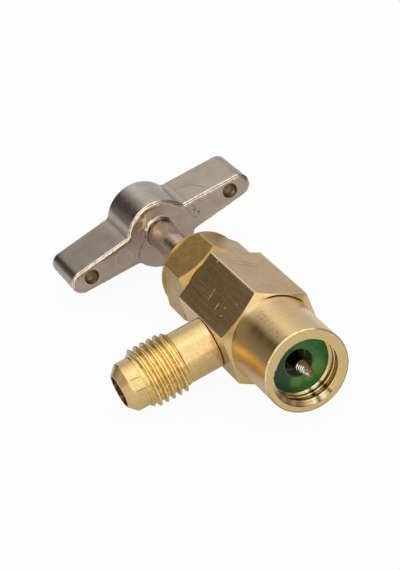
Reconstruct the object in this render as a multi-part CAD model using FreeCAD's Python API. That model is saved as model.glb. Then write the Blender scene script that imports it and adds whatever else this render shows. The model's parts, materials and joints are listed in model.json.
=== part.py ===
"""Refrigerant can tap: a brass body with a can socket, a flare outlet and a screwed stem with a T-handle.

Lengths are in millimetres. Each piece is first made about the tap's own axes: the main axis is z, with
z = 0 at the mouth of the socket, x points out of the outlet and y is square to both. At the end the tap
is laid on its side: the main axis becomes +Y, the mouth faces -Y, the outlet points to -X, and a corner
of the hexagon and the outlet's thread rest on one level surface.
"""
import FreeCAD
import Part
import math
import os
from FreeCAD import Vector

# Body: hexagonal bar, turned to a round skirt at the socket end
BODY_LENGTH = 31.9
BODY_ACROSS_FLATS = 16.5
SKIRT_DIAMETER = 15.1
SHOULDER_HEIGHT = 13.0
SHOULDER_ANGLE = 24.0

# Socket for the can, with its gasket
SOCKET_DIAMETER = 11.3
SOCKET_DEPTH = 3.24
POCKET_DIAMETER = 12.9
GASKET_THICKNESS = 3.0
GASKET_HOLE = 5.0
GASKET_LIP = 0.2

# Needle passage and valve seat
PASSAGE_DIAMETER = 4.4
SEAT_HEIGHT = 13.0

# Neck, packing and gland nut
NECK_DIAMETER = 12.0
NECK_LENGTH = 7.1
NECK_RELIEF_DIAMETER = 10.6
NECK_RELIEF_LENGTH = 1.2
PACKING_DIAMETER = 8.8
PACKING_RECESS = 4.0
WASHER_DIAMETER = 11.2
WASHER_THICKNESS = 1.2
NUT_ACROSS_FLATS = 14.35
NUT_LENGTH = 9.7
NUT_GAP = 2.6
NUT_ROOF = 3.4
NUT_CHAMFER_ANGLE = 45.0
NUT_FACE_SHARE = 0.95
NUT_COLLAR_DIAMETER = 15.0
NUT_COLLAR_HEIGHT = 0.7
NUT_COLLAR_CHAMFER = 0.2
NUT_TURN = 13.0

# Stem: operating thread, shank, nose with the needle and the seat washer
STEM_DIAMETER = 5.4
STEM_FREE_LENGTH = 18.08
STEM_THREAD_DIAMETER = 8.0
STEM_THREAD_MARGIN = 0.15
STEM_THREAD_LEAD = 1.0
STEM_TURNS = 6
TRAVEL_MARGIN = 0.2
NOSE_DIAMETER = 4.0
NOSE_HEIGHT = 8.5
SEAT_WASHER_DIAMETER = 5.8
SEAT_WASHER_THICKNESS = 1.3
SEAT_WASHER_GROOVE = 0.35

# Needle
NEEDLE_DIAMETER = 2.7
NEEDLE_PROUD = 1.26
NEEDLE_POINT_LENGTH = 3.2
NEEDLE_POINT_DIAMETER = 1.0
NEEDLE_GRIP = 3.5

# Outlet: flare stub on one flat of the body
OUTLET_HEIGHT = 21.95
OUTLET_THREAD_DIAMETER = 11.112
OUTLET_THREAD_LENGTH = 7.6
OUTLET_THREAD_LEAD_IN = 0.55
OUTLET_NECK_DIAMETER = 9.3
OUTLET_NECK_LENGTH = 6.05
OUTLET_NOSE_DIAMETER = 8.94
OUTLET_NOSE_LENGTH = 2.4
OUTLET_TIP_DIAMETER = 6.16
OUTLET_CONE_ANGLE = 45.0
OUTLET_BORE = 5.0
OUTLET_BORE_LEAD_IN = 0.35
OUTLET_TAIL_DIAMETER = 7.8
OUTLET_TAIL_LENGTH = 3.7
SEAL_WIDTH = 0.7
SEAL_THICKNESS = 0.3

# T-handle: die-cast, wider at the stem side because of its draft
HANDLE_DEPTH = 10.5
HANDLE_DRAFT = 0.4
HANDLE_TURN = -4.3
BOSS_DIAMETER = 13.2
WING_REACH = 19.2
WING_ROOT_WIDTH = 5.8
WING_END_RADIUS = 2.2
WING_HOLE_SPACING = 30.2
WING_HOLE_DIAMETER = 2.85
HANDLE_SOCKET_DEPTH = 7.5
WEB_FILLET = 0.9
FRONT_RIM_CHAMFER = 0.35
BACK_RIM_CHAMFER = 0.3
COLLAR_DIAMETER = 7.4
COLLAR_HEIGHT = 0.5

# Clearances
RUNNING_CLEARANCE = 0.05
SEAT_CLEARANCE = 0.05

# Heights that follow from the sizes above
PACKING_FLOOR = BODY_LENGTH + NECK_LENGTH - PACKING_RECESS
NECK_END = BODY_LENGTH + NECK_LENGTH
NUT_FACE = BODY_LENGTH + NUT_GAP
NUT_END = NUT_FACE + NUT_LENGTH
NUT_COLLAR_FOOT = NUT_END - NUT_COLLAR_HEIGHT
NUT_CEILING = NUT_END - NUT_ROOF
WASHER_FLOOR = NUT_CEILING - WASHER_THICKNESS
HANDLE_FRONT = NUT_END + STEM_FREE_LENGTH
POCKET_FLOOR = SOCKET_DEPTH + GASKET_THICKNESS
TRAVEL = STEM_TURNS * STEM_THREAD_LEAD
STEM_THREAD_TOP = PACKING_FLOOR - TRAVEL - TRAVEL_MARGIN
STEM_THREAD_FOOT = OUTLET_HEIGHT + OUTLET_BORE / 2 + STEM_THREAD_MARGIN
STEM_END = HANDLE_FRONT + HANDLE_SOCKET_DEPTH
NEEDLE_END = NOSE_HEIGHT + NEEDLE_GRIP

# Radii and distances along the outlet that follow
BODY_CORNER = BODY_ACROSS_FLATS / math.sqrt(3)
STEM_BORE = STEM_THREAD_DIAMETER / 2 + RUNNING_CLEARANCE
SHANK_BORE = STEM_DIAMETER / 2 + RUNNING_CLEARANCE
OUTLET_ROOT = BODY_ACROSS_FLATS / 2 + SEAL_THICKNESS
OUTLET_TAIL_END = OUTLET_ROOT - SEAL_THICKNESS - OUTLET_TAIL_LENGTH
OUTLET_THREAD_FOOT = OUTLET_ROOT + OUTLET_NECK_LENGTH
OUTLET_THREAD_END = OUTLET_THREAD_FOOT + OUTLET_THREAD_LENGTH
OUTLET_CONE_FOOT = OUTLET_THREAD_END + OUTLET_NOSE_LENGTH
OUTLET_CONE_RISE = (OUTLET_NOSE_DIAMETER - OUTLET_TIP_DIAMETER) / 2
OUTLET_TIP = OUTLET_CONE_FOOT + OUTLET_CONE_RISE / math.tan(math.radians(OUTLET_CONE_ANGLE))

# The seat washer's bevel lies along the 45 degree seat that rises from the needle passage
SEAT_WASHER_FLOOR = SEAT_HEIGHT + SEAT_CLEARANCE * math.sqrt(2)
SEAT_WASHER_CEILING = SEAT_WASHER_FLOOR + SEAT_WASHER_THICKNESS
SEAT_WASHER_BORE = NOSE_DIAMETER / 2 - SEAT_WASHER_GROOVE + RUNNING_CLEARANCE

# The tap leans towards its outlet until hexagon corner and outlet thread are level
LEAN = math.atan2(BODY_CORNER - OUTLET_THREAD_DIAMETER / 2, OUTLET_THREAD_END - OUTLET_THREAD_LEAD_IN)

ORIGIN = Vector(0, 0, 0)
MAIN_AXIS = Vector(0, 0, 1)


def turned(outline):
    """A piece turned about the main axis from a closed outline of (radius, height) points."""
    points = [Vector(radius, 0, height) for radius, height in outline]
    section = Part.Face(Part.makePolygon(points + points[:1]))
    return section.revolve(ORIGIN, MAIN_AXIS, 360)


def turned_on_outlet(outline):
    """The same about the outlet's axis, from (radius, distance from the main axis) points."""
    piece = turned(outline)
    piece.rotate(ORIGIN, Vector(0, 1, 0), 90)
    piece.translate(Vector(0, 0, OUTLET_HEIGHT))
    return piece


def tube(inner, outer, floor, ceiling):
    """A plain ring between two radii and two heights."""
    return turned([(inner, floor), (outer, floor), (outer, ceiling), (inner, ceiling)])


def hexagon(across_flats, floor, ceiling):
    """A hexagonal bar with one flat square to the outlet."""
    corner = across_flats / math.sqrt(3)
    corners = []
    for step in range(7):
        angle = math.radians(30 + 60 * step)
        corners.append(Vector(corner * math.cos(angle), corner * math.sin(angle), floor))
    return Part.Face(Part.makePolygon(corners)).extrude(Vector(0, 0, ceiling - floor))


def make_valve_body():
    flat = BODY_ACROSS_FLATS / 2
    skirt = SKIRT_DIAMETER / 2
    neck = NECK_DIAMETER / 2
    relief = NECK_RELIEF_DIAMETER / 2
    slope = math.tan(math.radians(SHOULDER_ANGLE))
    foot = SHOULDER_HEIGHT - (flat - skirt) * slope
    bar = hexagon(BODY_ACROSS_FLATS, foot, BODY_LENGTH)
    envelope = turned([
        (0, foot), (skirt, foot), (BODY_CORNER, foot + (BODY_CORNER - skirt) * slope),
        (BODY_CORNER, BODY_LENGTH), (0, BODY_LENGTH),
    ])
    turned_parts = turned([
        (0, 0), (skirt, 0), (skirt, foot),
        (relief, foot), (relief, BODY_LENGTH + NECK_RELIEF_LENGTH),
        (neck, BODY_LENGTH + NECK_RELIEF_LENGTH), (neck, NECK_END), (0, NECK_END),
    ])
    socket = SOCKET_DIAMETER / 2
    pocket = POCKET_DIAMETER / 2
    passage = PASSAGE_DIAMETER / 2
    packing = PACKING_DIAMETER / 2
    bores = turned([
        (0, 0), (socket, 0), (socket, SOCKET_DEPTH),
        (pocket, SOCKET_DEPTH), (pocket, POCKET_FLOOR), (passage, POCKET_FLOOR), (passage, SEAT_HEIGHT),
        (STEM_BORE, SEAT_HEIGHT + STEM_BORE - passage), (STEM_BORE, PACKING_FLOOR),
        (packing, PACKING_FLOOR), (packing, NECK_END), (0, NECK_END),
    ])
    tail = OUTLET_TAIL_DIAMETER / 2
    port = OUTLET_BORE / 2
    outlet_bores = turned_on_outlet([
        (0, 0), (port, 0), (port, OUTLET_TAIL_END), (tail, OUTLET_TAIL_END), (tail, flat), (0, flat),
    ])
    body = bar.common(envelope).fuse(turned_parts)
    return body.cut(bores).cut(outlet_bores).removeSplitter()


def make_socket_gasket():
    hole = GASKET_HOLE / 2
    edge = POCKET_DIAMETER / 2
    return turned([
        (hole + GASKET_LIP, SOCKET_DEPTH), (edge, SOCKET_DEPTH), (edge, POCKET_FLOOR),
        (hole, POCKET_FLOOR), (hole, SOCKET_DEPTH + GASKET_LIP),
    ])


def make_outlet_fitting():
    bore = OUTLET_BORE / 2
    tail = OUTLET_TAIL_DIAMETER / 2
    neck = OUTLET_NECK_DIAMETER / 2
    crest = OUTLET_THREAD_DIAMETER / 2
    nose = OUTLET_NOSE_DIAMETER / 2
    tip = OUTLET_TIP_DIAMETER / 2
    return turned_on_outlet([
        (bore, OUTLET_TAIL_END), (tail, OUTLET_TAIL_END), (tail, OUTLET_ROOT),
        (neck, OUTLET_ROOT), (neck, OUTLET_THREAD_FOOT), (crest, OUTLET_THREAD_FOOT + crest - neck),
        (crest, OUTLET_THREAD_END - OUTLET_THREAD_LEAD_IN),
        (crest - OUTLET_THREAD_LEAD_IN, OUTLET_THREAD_END), (nose, OUTLET_THREAD_END),
        (nose, OUTLET_CONE_FOOT), (tip, OUTLET_TIP), (bore + OUTLET_BORE_LEAD_IN, OUTLET_TIP),
        (bore, OUTLET_TIP - OUTLET_BORE_LEAD_IN),
    ])


def make_outlet_seal():
    flat = BODY_ACROSS_FLATS / 2
    tail = OUTLET_TAIL_DIAMETER / 2
    edge = tail + SEAL_WIDTH
    return turned_on_outlet([(tail, flat), (edge, flat), (edge, OUTLET_ROOT), (tail, OUTLET_ROOT)])


def make_gland_nut():
    corner = NUT_ACROSS_FLATS / math.sqrt(3)
    flat = NUT_ACROSS_FLATS / 2
    face = flat * NUT_FACE_SHARE
    slope = math.tan(math.radians(NUT_CHAMFER_ANGLE))
    thread = NECK_DIAMETER / 2 + RUNNING_CLEARANCE
    envelope = turned([
        (0, NUT_FACE), (face, NUT_FACE), (corner, NUT_FACE + (corner - face) * slope),
        (corner, NUT_COLLAR_FOOT - (corner - flat) * slope), (flat, NUT_COLLAR_FOOT), (0, NUT_COLLAR_FOOT),
    ])
    collar = NUT_COLLAR_DIAMETER / 2
    round_end = turned([
        (0, NUT_COLLAR_FOOT), (collar, NUT_COLLAR_FOOT), (collar, NUT_END - NUT_COLLAR_CHAMFER),
        (collar - NUT_COLLAR_CHAMFER, NUT_END), (0, NUT_END),
    ])
    bores = turned([
        (0, NUT_FACE), (thread, NUT_FACE), (thread, NUT_CEILING), (SHANK_BORE, NUT_CEILING),
        (SHANK_BORE, NUT_END), (0, NUT_END),
    ])
    bar = hexagon(NUT_ACROSS_FLATS, NUT_FACE, NUT_COLLAR_FOOT).common(envelope)
    nut = bar.fuse(round_end).cut(bores)
    nut.rotate(ORIGIN, MAIN_AXIS, NUT_TURN)
    return nut


def make_gland_washer():
    return tube(SHANK_BORE, WASHER_DIAMETER / 2, WASHER_FLOOR, NUT_CEILING)


def make_gland_packing():
    return tube(SHANK_BORE, PACKING_DIAMETER / 2, PACKING_FLOOR, WASHER_FLOOR)


def make_stem():
    needle = NEEDLE_DIAMETER / 2
    nose = NOSE_DIAMETER / 2
    shank = STEM_DIAMETER / 2
    thread = STEM_THREAD_DIAMETER / 2
    groove = nose - SEAT_WASHER_GROOVE
    groove_floor = SEAT_WASHER_FLOOR - RUNNING_CLEARANCE
    groove_ceiling = SEAT_WASHER_CEILING + RUNNING_CLEARANCE
    return turned([
        (0, NEEDLE_END), (needle, NEEDLE_END), (needle, NOSE_HEIGHT), (nose, NOSE_HEIGHT),
        (nose, groove_floor), (groove, groove_floor), (groove, groove_ceiling),
        (shank, groove_ceiling), (shank, STEM_THREAD_FOOT),
        (thread, STEM_THREAD_FOOT), (thread, STEM_THREAD_TOP),
        (shank, STEM_THREAD_TOP), (shank, STEM_END), (0, STEM_END),
    ])


def make_seat_washer():
    passage = PASSAGE_DIAMETER / 2
    edge = SEAT_WASHER_DIAMETER / 2
    return turned([
        (SEAT_WASHER_BORE, SEAT_WASHER_FLOOR), (passage, SEAT_WASHER_FLOOR),
        (edge, SEAT_WASHER_FLOOR + edge - passage), (edge, SEAT_WASHER_CEILING),
        (SEAT_WASHER_BORE, SEAT_WASHER_CEILING),
    ])


def make_piercing_needle():
    needle = NEEDLE_DIAMETER / 2
    point = NEEDLE_POINT_DIAMETER / 2
    return turned([
        (0, -NEEDLE_PROUD), (point / 2, -NEEDLE_PROUD), (point, -NEEDLE_PROUD + point / 2),
        (needle, -NEEDLE_PROUD + NEEDLE_POINT_LENGTH), (needle, NEEDLE_END), (0, NEEDLE_END),
    ])


def drafted_prism(front_corners, back_corners):
    """A solid with flat sides between a front outline and a smaller back outline with like corners."""
    count = len(front_corners)
    faces = [
        Part.Face(Part.makePolygon(front_corners + front_corners[:1])),
        Part.Face(Part.makePolygon(back_corners + back_corners[:1])),
    ]
    for index in range(count):
        after = (index + 1) % count
        loop = [front_corners[index], front_corners[after], back_corners[after], back_corners[index]]
        faces.append(Part.Face(Part.makePolygon(loop + loop[:1])))
    return Part.Solid(Part.Shell(faces))


def wing_corners(inset, height):
    """The six corners of both wings' straight sides, which touch the round ends."""
    middle = WING_REACH - WING_END_RADIUS
    run = middle - BOSS_DIAMETER / 2
    root = WING_ROOT_WIDTH / 2
    taper = math.acos(WING_END_RADIUS / math.hypot(root, run)) - math.atan2(run, root)
    crown = root + BOSS_DIAMETER / 2 * math.tan(taper) - inset / math.cos(taper)
    touch_x = middle + (WING_END_RADIUS - inset) * math.sin(taper)
    touch_y = (WING_END_RADIUS - inset) * math.cos(taper)
    plan = [(touch_x, -touch_y), (touch_x, touch_y), (0, crown)]
    plan += [(-x, -y) for x, y in plan]
    return [Vector(x, y, height) for x, y in plan]


def rim_edges(shape, height):
    """The outer edges of the handle that lie in one plane across the stem."""
    found = []
    for edge in shape.Edges:
        box = edge.BoundBox
        if abs(box.ZMin - height) < 1e-4 and abs(box.ZMax - height) < 1e-4:
            found.append(edge)
    return found


def make_t_handle():
    front = HANDLE_FRONT
    back = HANDLE_FRONT + HANDLE_DEPTH
    inset = HANDLE_DEPTH * math.tan(math.radians(HANDLE_DRAFT))
    boss_radius = BOSS_DIAMETER / 2
    boss = Part.makeCone(boss_radius, boss_radius - inset, HANDLE_DEPTH, Vector(0, 0, front), MAIN_AXIS)
    casting = boss.fuse(drafted_prism(wing_corners(0, front), wing_corners(inset, back)))
    for side in (1, -1):
        middle = Vector(side * (WING_REACH - WING_END_RADIUS), 0, front)
        end = Part.makeCone(WING_END_RADIUS, WING_END_RADIUS - inset, HANDLE_DEPTH, middle, MAIN_AXIS)
        casting = casting.fuse(end)
    casting = casting.removeSplitter()
    corners = [
        edge for edge in casting.Edges
        if abs(edge.BoundBox.ZLength - HANDLE_DEPTH) < 1e-3
        and abs(math.hypot(edge.CenterOfMass.x, edge.CenterOfMass.y) - boss_radius) < inset
        and abs(edge.CenterOfMass.x) > boss_radius / 2
    ]
    casting = casting.makeFillet(WEB_FILLET, corners)
    casting = casting.makeChamfer(BACK_RIM_CHAMFER, rim_edges(casting, back))
    casting = casting.makeChamfer(FRONT_RIM_CHAMFER, rim_edges(casting, front))
    collar_radius = COLLAR_DIAMETER / 2
    collar = turned([
        (0, front), (collar_radius, front), (collar_radius - COLLAR_HEIGHT, front - COLLAR_HEIGHT),
        (0, front - COLLAR_HEIGHT),
    ])
    casting = casting.fuse(collar)
    casting = casting.cut(tube(0, STEM_DIAMETER / 2, front - COLLAR_HEIGHT, STEM_END))
    for side in (1, -1):
        place = Vector(side * WING_HOLE_SPACING / 2, 0, front)
        casting = casting.cut(Part.makeCylinder(WING_HOLE_DIAMETER / 2, HANDLE_DEPTH, place, MAIN_AXIS))
    casting = casting.removeSplitter()
    casting.rotate(ORIGIN, MAIN_AXIS, HANDLE_TURN)
    return casting


def laid_down(piece):
    """The piece with the main axis along +Y, the outlet to -X and the lean towards the outlet."""
    laid = piece.copy()
    laid.rotate(ORIGIN, Vector(1, 0, 0), -90)
    laid.rotate(ORIGIN, Vector(0, 1, 0), 180 - math.degrees(LEAN))
    return laid


PIECES = {
    "valve_body": make_valve_body,
    "socket_gasket": make_socket_gasket,
    "outlet_fitting": make_outlet_fitting,
    "outlet_seal": make_outlet_seal,
    "gland_nut": make_gland_nut,
    "gland_washer": make_gland_washer,
    "gland_packing": make_gland_packing,
    "stem": make_stem,
    "seat_washer": make_seat_washer,
    "piercing_needle": make_piercing_needle,
    "t_handle": make_t_handle,
}

os.makedirs("parts", exist_ok=True)
for name, make in PIECES.items():
    solid = laid_down(make())
    solid.exportStep("parts/" + name + ".step")
    print(name, "solids", len(solid.Solids), "valid", solid.isValid(), "volume", round(solid.Volume, 2))
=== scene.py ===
# %% [markdown]
# # A refrigerant can tap, dressed for a picture
#
# The tap screws onto a can of refrigerant. A brass body carries a threaded socket with a green
# gasket, a flare outlet on its side, a gland nut and a long stem with a cast T-handle. The solids
# come in finished as to size, and here each one gets the skin that an eye would see: threads,
# softened edges, turning marks, and metal that reflects a small studio.

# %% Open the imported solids
import json
import math
import bmesh
import bpy
from mathutils import Matrix, Vector, noise
from mathutils.geometry import delaunay_2d_cdt
from mathutils.kdtree import KDTree


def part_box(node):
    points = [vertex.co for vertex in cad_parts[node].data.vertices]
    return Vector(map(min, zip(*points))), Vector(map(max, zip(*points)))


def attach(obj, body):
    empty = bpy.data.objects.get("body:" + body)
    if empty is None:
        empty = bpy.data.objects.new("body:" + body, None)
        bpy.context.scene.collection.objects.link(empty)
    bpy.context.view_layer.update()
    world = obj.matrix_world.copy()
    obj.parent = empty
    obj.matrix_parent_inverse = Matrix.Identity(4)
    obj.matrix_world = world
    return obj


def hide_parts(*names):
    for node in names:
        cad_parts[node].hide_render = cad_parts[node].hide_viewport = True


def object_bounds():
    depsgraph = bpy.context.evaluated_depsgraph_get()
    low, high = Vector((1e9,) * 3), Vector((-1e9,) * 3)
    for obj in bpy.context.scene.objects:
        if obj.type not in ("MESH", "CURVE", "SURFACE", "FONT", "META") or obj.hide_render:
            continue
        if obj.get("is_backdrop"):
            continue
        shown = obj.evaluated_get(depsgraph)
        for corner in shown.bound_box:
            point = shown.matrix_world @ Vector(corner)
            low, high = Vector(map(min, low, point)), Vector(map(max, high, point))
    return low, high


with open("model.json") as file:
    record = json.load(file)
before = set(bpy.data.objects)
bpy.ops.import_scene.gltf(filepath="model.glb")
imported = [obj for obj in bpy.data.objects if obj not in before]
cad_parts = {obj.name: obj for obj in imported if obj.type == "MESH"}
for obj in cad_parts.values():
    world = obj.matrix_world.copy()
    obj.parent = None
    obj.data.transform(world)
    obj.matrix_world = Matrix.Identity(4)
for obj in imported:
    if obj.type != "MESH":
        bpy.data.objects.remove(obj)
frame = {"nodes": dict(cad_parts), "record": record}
MM = 0.001
cad_low, cad_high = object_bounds()
spans = [round((high - low) / MM, 2) for low, high in zip(cad_low, cad_high)]
print("the solids span", spans, "mm")

# %% [markdown]
# ## Working axes
#
# The tap lies on its side and leans on its outlet, so its pieces are easier to draw about axes of
# their own: x along the outlet, y square to it, z along the main axis from the mouth to the
# handle. The record says where the outlet points, and two cross products give the rest. The nut
# and the handle stand a little turned against the body. A finished piece is turned once, in its
# mesh, so its object stays at the origin.

# %% The main axis, the outlet's axis and the handle's turn
mounts = {mount["name"]: mount for mount in frame["record"]["mounts"]}
MAIN = Vector((0, 1, 0))
OUTWARD = Vector(mounts["outlet_flare"]["axis"])
UPWARD = MAIN.cross(OUTWARD)
ON_MAIN = Matrix((OUTWARD, UPWARD, MAIN)).transposed().to_4x4()
outlet_middle = Vector(mounts["outlet_flare"]["pos_m"])
OUTLET_HEIGHT = outlet_middle.dot(MAIN)
OUTLET_TURN = Matrix.Rotation(math.pi / 2, 4, "Y")
ON_OUTLET = ON_MAIN @ Matrix.Translation((0, 0, OUTLET_HEIGHT)) @ OUTLET_TURN
HANDLE_TURN = math.radians(-4.3)
ON_HANDLE = ON_MAIN @ Matrix.Rotation(HANDLE_TURN, 4, "Z")
NUT_TURN = math.radians(13)
SHOULDER_SLOPE = math.tan(math.radians(24))
lean = math.degrees(math.atan2(-OUTWARD.z, -OUTWARD.x))
print("the tap leans", round(lean, 2), "degrees, outlet at", round(OUTLET_HEIGHT / MM, 2), "mm")


def measure(node, place):
    """The lowest and highest corner of a solid along the axes of a place."""
    back = place.inverted()
    points = [back @ vertex.co for vertex in frame["nodes"][node].data.vertices]
    low = Vector([min(point[k] for point in points) for k in range(3)])
    high = Vector([max(point[k] for point in points) for k in range(3)])
    return low, high


# %% [markdown]
# ## The camera
#
# The picture was taken from in front and above, a little to the outlet's side, with a long lens
# and the camera turned a little on its own axis. A long lens keeps the far handle almost as large
# as the near socket. The place, the aim and the roll were found by fitting the tap's known sizes.

# %% Set up the camera
CAMERA_PLACE = Vector((-129.5, -336.36, 208.43)) * MM
CAMERA_AIM = Vector((-11.395, 12.163, 14.964)) * MM
CAMERA_ROLL = math.radians(-10.326)
LENS_LENGTH = 161.1
SENSOR_HEIGHT = 36.0


def new_object(name, data):
    """Makes an object and adds it to the scene."""
    made = bpy.data.objects.new(name, data)
    bpy.context.collection.objects.link(made)
    return made


def look_at(place, aim):
    """Stands something at a place and turns its view towards an aim."""
    turn = (aim - place).to_track_quat("-Z", "Y").to_matrix().to_4x4()
    return Matrix.Translation(place) @ turn


camera_data = bpy.data.cameras.new("camera")
camera_data.sensor_width = SENSOR_HEIGHT
camera_data.lens = LENS_LENGTH
camera_data.clip_start = 0.01
camera_data.clip_end = 10
camera = new_object("camera", camera_data)
camera.matrix_world = look_at(CAMERA_PLACE, CAMERA_AIM) @ Matrix.Rotation(CAMERA_ROLL, 4, "Z")
bpy.context.scene.camera = camera
print("the camera stands", round((CAMERA_AIM - CAMERA_PLACE).length / MM), "mm away")

# %% [markdown]
# ## Skins from sections
#
# Nearly every piece came off a lathe, so nearly every piece is a section carried round an axis.
# The section is a list of corners, each with a radius, a height and perhaps an ease: an eased
# corner is a short bend with a guard point on each side. The bend catches the light as a real
# edge does, and the guards keep the flat faces beside it flat in shading.

# %% Sections and rings
BEND_STEPS = 4
GUARD = 1.35


def eased(corners):
    """The points of a closed section, with a bend at each corner that has an ease."""
    line = []
    count = len(corners)
    for index, (radius, height, *given) in enumerate(corners):
        corner = Vector((radius, height))
        ease = sum(given)
        if not ease:
            line.append(corner)
            continue
        before = Vector(corners[index - 1][:2]) - corner
        after = Vector(corners[(index + 1) % count][:2]) - corner
        start = before.normalized() * min(ease, before.length / 3)
        end = after.normalized() * min(ease, after.length / 3)
        line.append(corner + start * GUARD)
        for step in range(BEND_STEPS + 1):
            t = step / BEND_STEPS
            line.append(corner + start * (1 - t) ** 2 + end * t ** 2)
        line.append(corner + end * GUARD)
    return line


def polar(radius, angle, height):
    """A point about z from its radius, its angle and its height."""
    return Vector((radius * math.cos(angle), radius * math.sin(angle), height))


def add_skin(work, place, columns, closed):
    """Adds columns of points round an axis to a bmesh, with faces between neighbouring columns."""
    made = [[work.verts.new(place @ point) for point in column] for column in columns]
    rows = len(made[0])
    for index, column in enumerate(made):
        other = made[(index + 1) % len(made)]
        for row in range(rows if closed else rows - 1):
            after = (row + 1) % rows
            work.faces.new((column[row], other[row], other[after], column[after]))


def even_angle(index, count):
    return 2 * math.pi * index / count


def add_turned(work, place, corners, count, closed=True, shape=None):
    """Adds a turned skin: one eased section at equal steps, its points moved by a shape."""
    section = eased(corners)
    columns = []
    for index in range(count):
        angle = even_angle(index, count)
        points = [shape(radius, angle, height) for radius, height in section] if shape else section
        columns.append([polar(radius, angle, height) for radius, height in points])
    add_skin(work, place, columns, closed)


def finish(work, name, sharp_angle=34, weld=0.4e-6):
    """Welds a bmesh into one outward facing mesh and makes the piece."""
    bmesh.ops.remove_doubles(work, verts=work.verts, dist=weld)
    bmesh.ops.dissolve_degenerate(work, edges=work.edges, dist=weld)
    bmesh.ops.recalc_face_normals(work, faces=work.faces)
    open_edges = sum(1 for edge in work.edges if not edge.is_manifold)
    mesh = bpy.data.meshes.new(name)
    work.to_mesh(mesh)
    work.free()
    mesh.shade_smooth()
    mesh.set_sharp_from_angle(angle=math.radians(sharp_angle))
    piece = new_object(name, mesh)
    print(name, "has", len(mesh.polygons), "faces and", open_edges, "open edges")
    return piece


def dress(piece, node, body, coat):
    """Gives a piece its finish and its body, hides the solid that it stands for and prints how far
    it stands past it.
    """
    piece.data.materials.clear()
    piece.data.materials.append(coat.material)
    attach(piece, body)
    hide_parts(node)
    over = []
    for k, (low, high) in enumerate(zip(*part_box(node))):
        reach = [vertex.co[k] for vertex in piece.data.vertices]
        over.append(round(max(low - min(reach), max(reach) - high) / MM, 3))
    print(piece.name, "stands past its solid by", over, "mm")


# %% [markdown]
# ## Wires between nodes
#
# The finishes, the threads and the sky are node trees. A value on its way through a tree is kept
# here as a wire, and plain arithmetic on wires adds the nodes: a * b is a Multiply node, a | b
# keeps the greater of two, and a fade is a Map Range node that eases in and out.

# %% Wires
class Wire:
    """A value on its way through a node tree."""

    def __init__(self, tree, socket):
        self.tree = tree
        self.socket = socket

    def calc(self, operation, *values, **settings):
        return add_node(self.tree, "ShaderNodeMath", self, *values, operation=operation, **settings)

    def __add__(self, other):
        return self.calc("ADD", other)

    def __sub__(self, other):
        return self.calc("SUBTRACT", other)

    def __rsub__(self, other):
        return add_node(self.tree, "ShaderNodeMath", other, self, operation="SUBTRACT")

    def __mul__(self, other):
        return self.calc("MULTIPLY", other)

    def __truediv__(self, other):
        return self.calc("DIVIDE", other)

    def __or__(self, other):
        return self.calc("MAXIMUM", other)

    def __abs__(self):
        return self.calc("ABSOLUTE")

    def beside(self, other):
        """The length of the long side of a right triangle on two wires."""
        return (self.calc("POWER", 2.0) + other.calc("POWER", 2.0)).calc("SQRT")

    def fade(self, low, high, start=0.0, end=1.0):
        """A smooth change from start to end while the value goes from low to high."""
        given = (self, low, high, start, end)
        return add_node(self.tree, "ShaderNodeMapRange", *given, interpolation_type="SMOOTHSTEP")

    def below(self, low, high):
        """All of a value up to low and nothing of it past high."""
        return self.fade(low, high, 1.0, 0.0)

    def window(self, rise, risen, fall, fallen):
        return self.fade(rise, risen) * self.below(fall, fallen)

    def swing(self, start, end):
        """A number that goes from start to end over the middle of a noise."""
        return self.fade(0.3, 0.7, start, end)

    def choose(self, one, other):
        """A number that goes from one to the other with this share."""
        return self.calc("MULTIPLY_ADD", other - one, one)

    def blend(self, one, other):
        """A tint that goes from one to the other with this share."""
        tints = [(*tint, 1) if isinstance(tint, tuple) else tint for tint in (one, other)]
        given = (self, *[None] * 5, *tints)
        return add_node(self.tree, "ShaderNodeMix", *given, out=2, data_type="RGBA")

    def stain(self, one, other):
        """Two tints, mixed over the middle of a noise."""
        return self.fade(0.3, 0.7).blend(one, other)


def add_node(tree, kind, *given, out=0, **settings):
    """Adds a node, fills its inputs in their order with wires or values, and gives one output."""
    node = tree.nodes.new(kind)
    for label, value in settings.items():
        setattr(node, label, value)
    for socket, value in zip(node.inputs, given):
        if isinstance(value, Wire):
            tree.links.new(value.socket, socket)
        elif value is not None:
            socket.default_value = value
    return Wire(tree, node.outputs[out]) if node.outputs else None


def split(vector):
    """The x, y and z of a vector, each on a wire of its own."""
    node = add_node(vector.tree, "ShaderNodeSeparateXYZ", vector).socket.node
    return [Wire(vector.tree, output) for output in node.outputs]


def most(wires):
    """The strongest of several marks at each spot."""
    found = wires[0]
    for wire in wires[1:]:
        found = found | wire
    return found


def coats(tint, *layers):
    """Lays tints over a first one, in their order, each by its own share."""
    for share, layer in layers:
        tint = share.blend(tint, layer)
    return tint


# %% [markdown]
# ## Finishes
#
# Bare metal is nearly all reflection. What tells brass from plating is its tint, and what tells a
# drawn flat from a turned skirt is the way its fine marks run. So each finish reads the object's
# own coordinates, turned into the axes of the piece and scaled to millimetres: a noise that is
# pressed flat along the axis gives rings from a lathe, and one that is drawn out along it gives
# the lines of a drawing die. Roughness and a low bump follow the same marks, and the tint follows
# the larger stains.

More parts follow.
